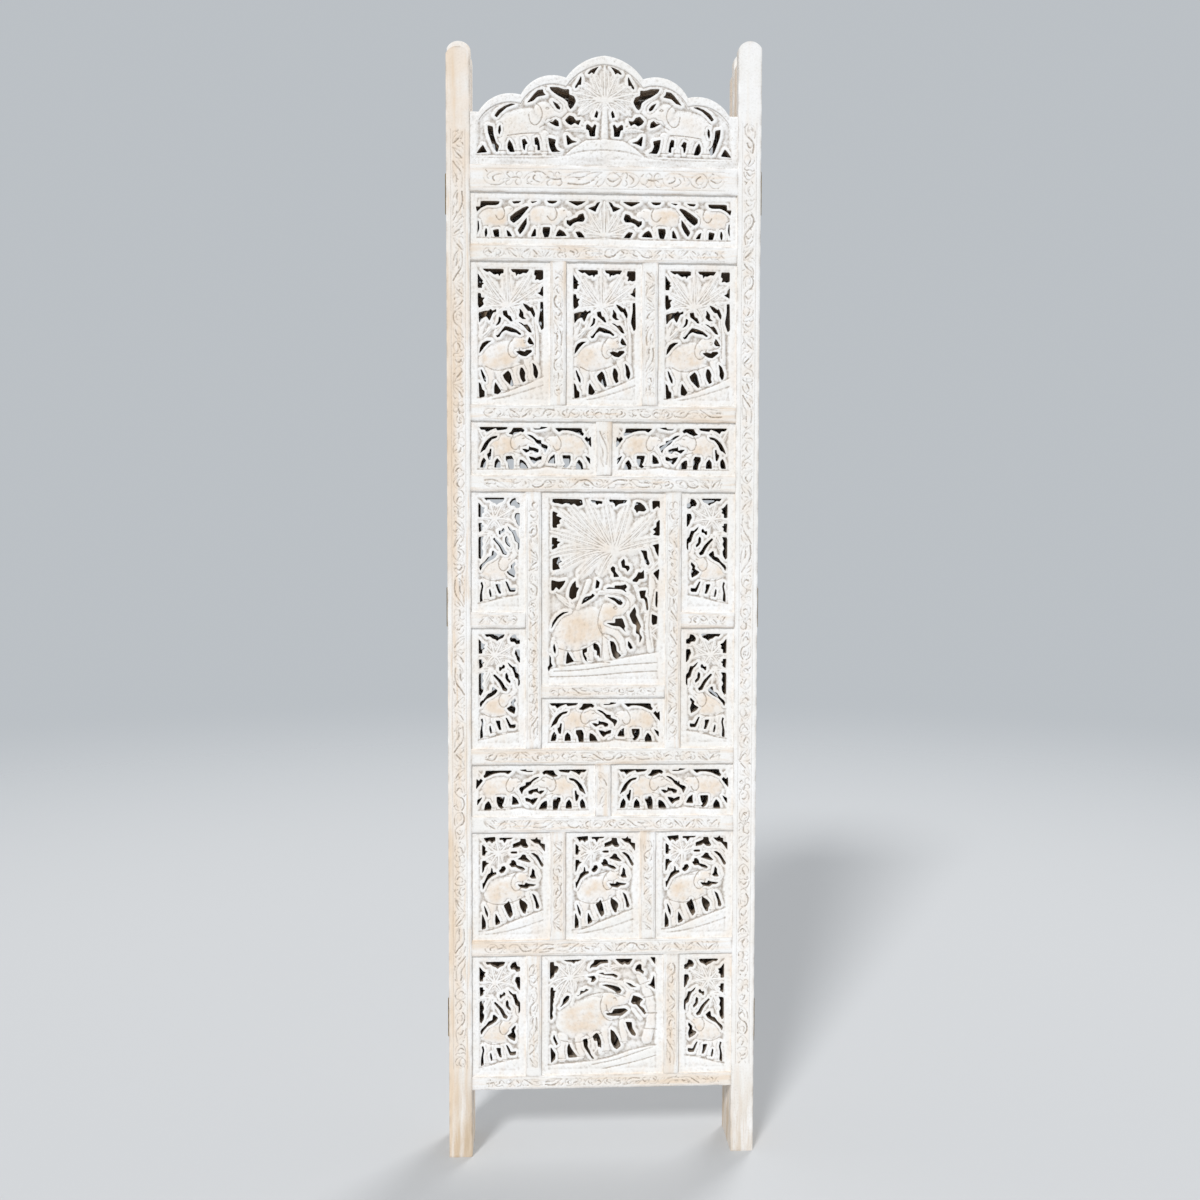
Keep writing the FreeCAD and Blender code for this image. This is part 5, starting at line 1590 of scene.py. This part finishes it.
def make_floor():
    half = FLOOR_SIZE / 2
    corners = [(-half, -half, 0), (half, -half, 0), (half, half, 0), (-half, half, 0)]
    mesh = bpy.data.meshes.new("floor")
    mesh.from_pydata(corners, [], [(0, 1, 2, 3)])
    mesh.materials.append(floor_material())
    floor = bpy.data.objects.new("floor", mesh)
    bpy.context.scene.collection.objects.link(floor)


def make_world():
    """Soft light all round, and a plain grey backdrop where the camera or a mirror sees it."""
    world = bpy.data.worlds.new("studio")
    tree = Nodes(world)
    light = tree.nodes["Background"]
    tree.feed(light.inputs["Color"], SKY_LIGHT)
    tree.feed(light.inputs["Strength"], SKY_STRENGTH)
    seen = tree.add("ShaderNodeBackground", {"Color": SKY_SEEN})
    rays = tree.nodes.new("ShaderNodeLightPath").outputs
    direct = tree.maths("MAXIMUM", rays["Is Camera Ray"], rays["Is Glossy Ray"])
    direct = tree.maths("MAXIMUM", direct, rays["Is Transmission Ray"])
    surface = tree.nodes["World Output"].inputs["Surface"]
    tree.feed(surface, tree.mix_shaders(direct, light, seen))
    bpy.context.scene.world = world


def make_sun(name, place, strength, angle):
    data = bpy.data.lights.new(name, "SUN")
    data.energy = strength
    data.angle = math.radians(angle)
    lamp = bpy.data.objects.new(name, data)
    lamp.rotation_euler = (-Vector(place)).to_track_quat("-Z", "Y").to_euler()
    bpy.context.scene.collection.objects.link(lamp)


def make_camera():
    data = bpy.data.cameras.new("camera")
    data.sensor_fit = "HORIZONTAL"
    data.sensor_width = SENSOR_MM
    data.lens = FOCAL_PIXELS / PHOTO_PIXELS * SENSOR_MM
    camera = bpy.data.objects.new("camera", data)
    turns = ((CAMERA_YAW, "Z"), (CAMERA_PITCH, "X"), (CAMERA_ROLL, "Y"), (90, "X"))
    place = Matrix.Translation(CAMERA_PLACE)
    for degrees, axis in turns:
        place = place @ Matrix.Rotation(math.radians(degrees), 4, axis)
    camera.matrix_world = place
    bpy.context.scene.collection.objects.link(camera)
    bpy.context.scene.camera = camera


make_floor()
make_world()
for name, place, strength, angle in SUNS:
    make_sun(name, place, strength, angle)
make_camera()

scene = bpy.context.scene
scene.view_settings.view_transform = "Standard"
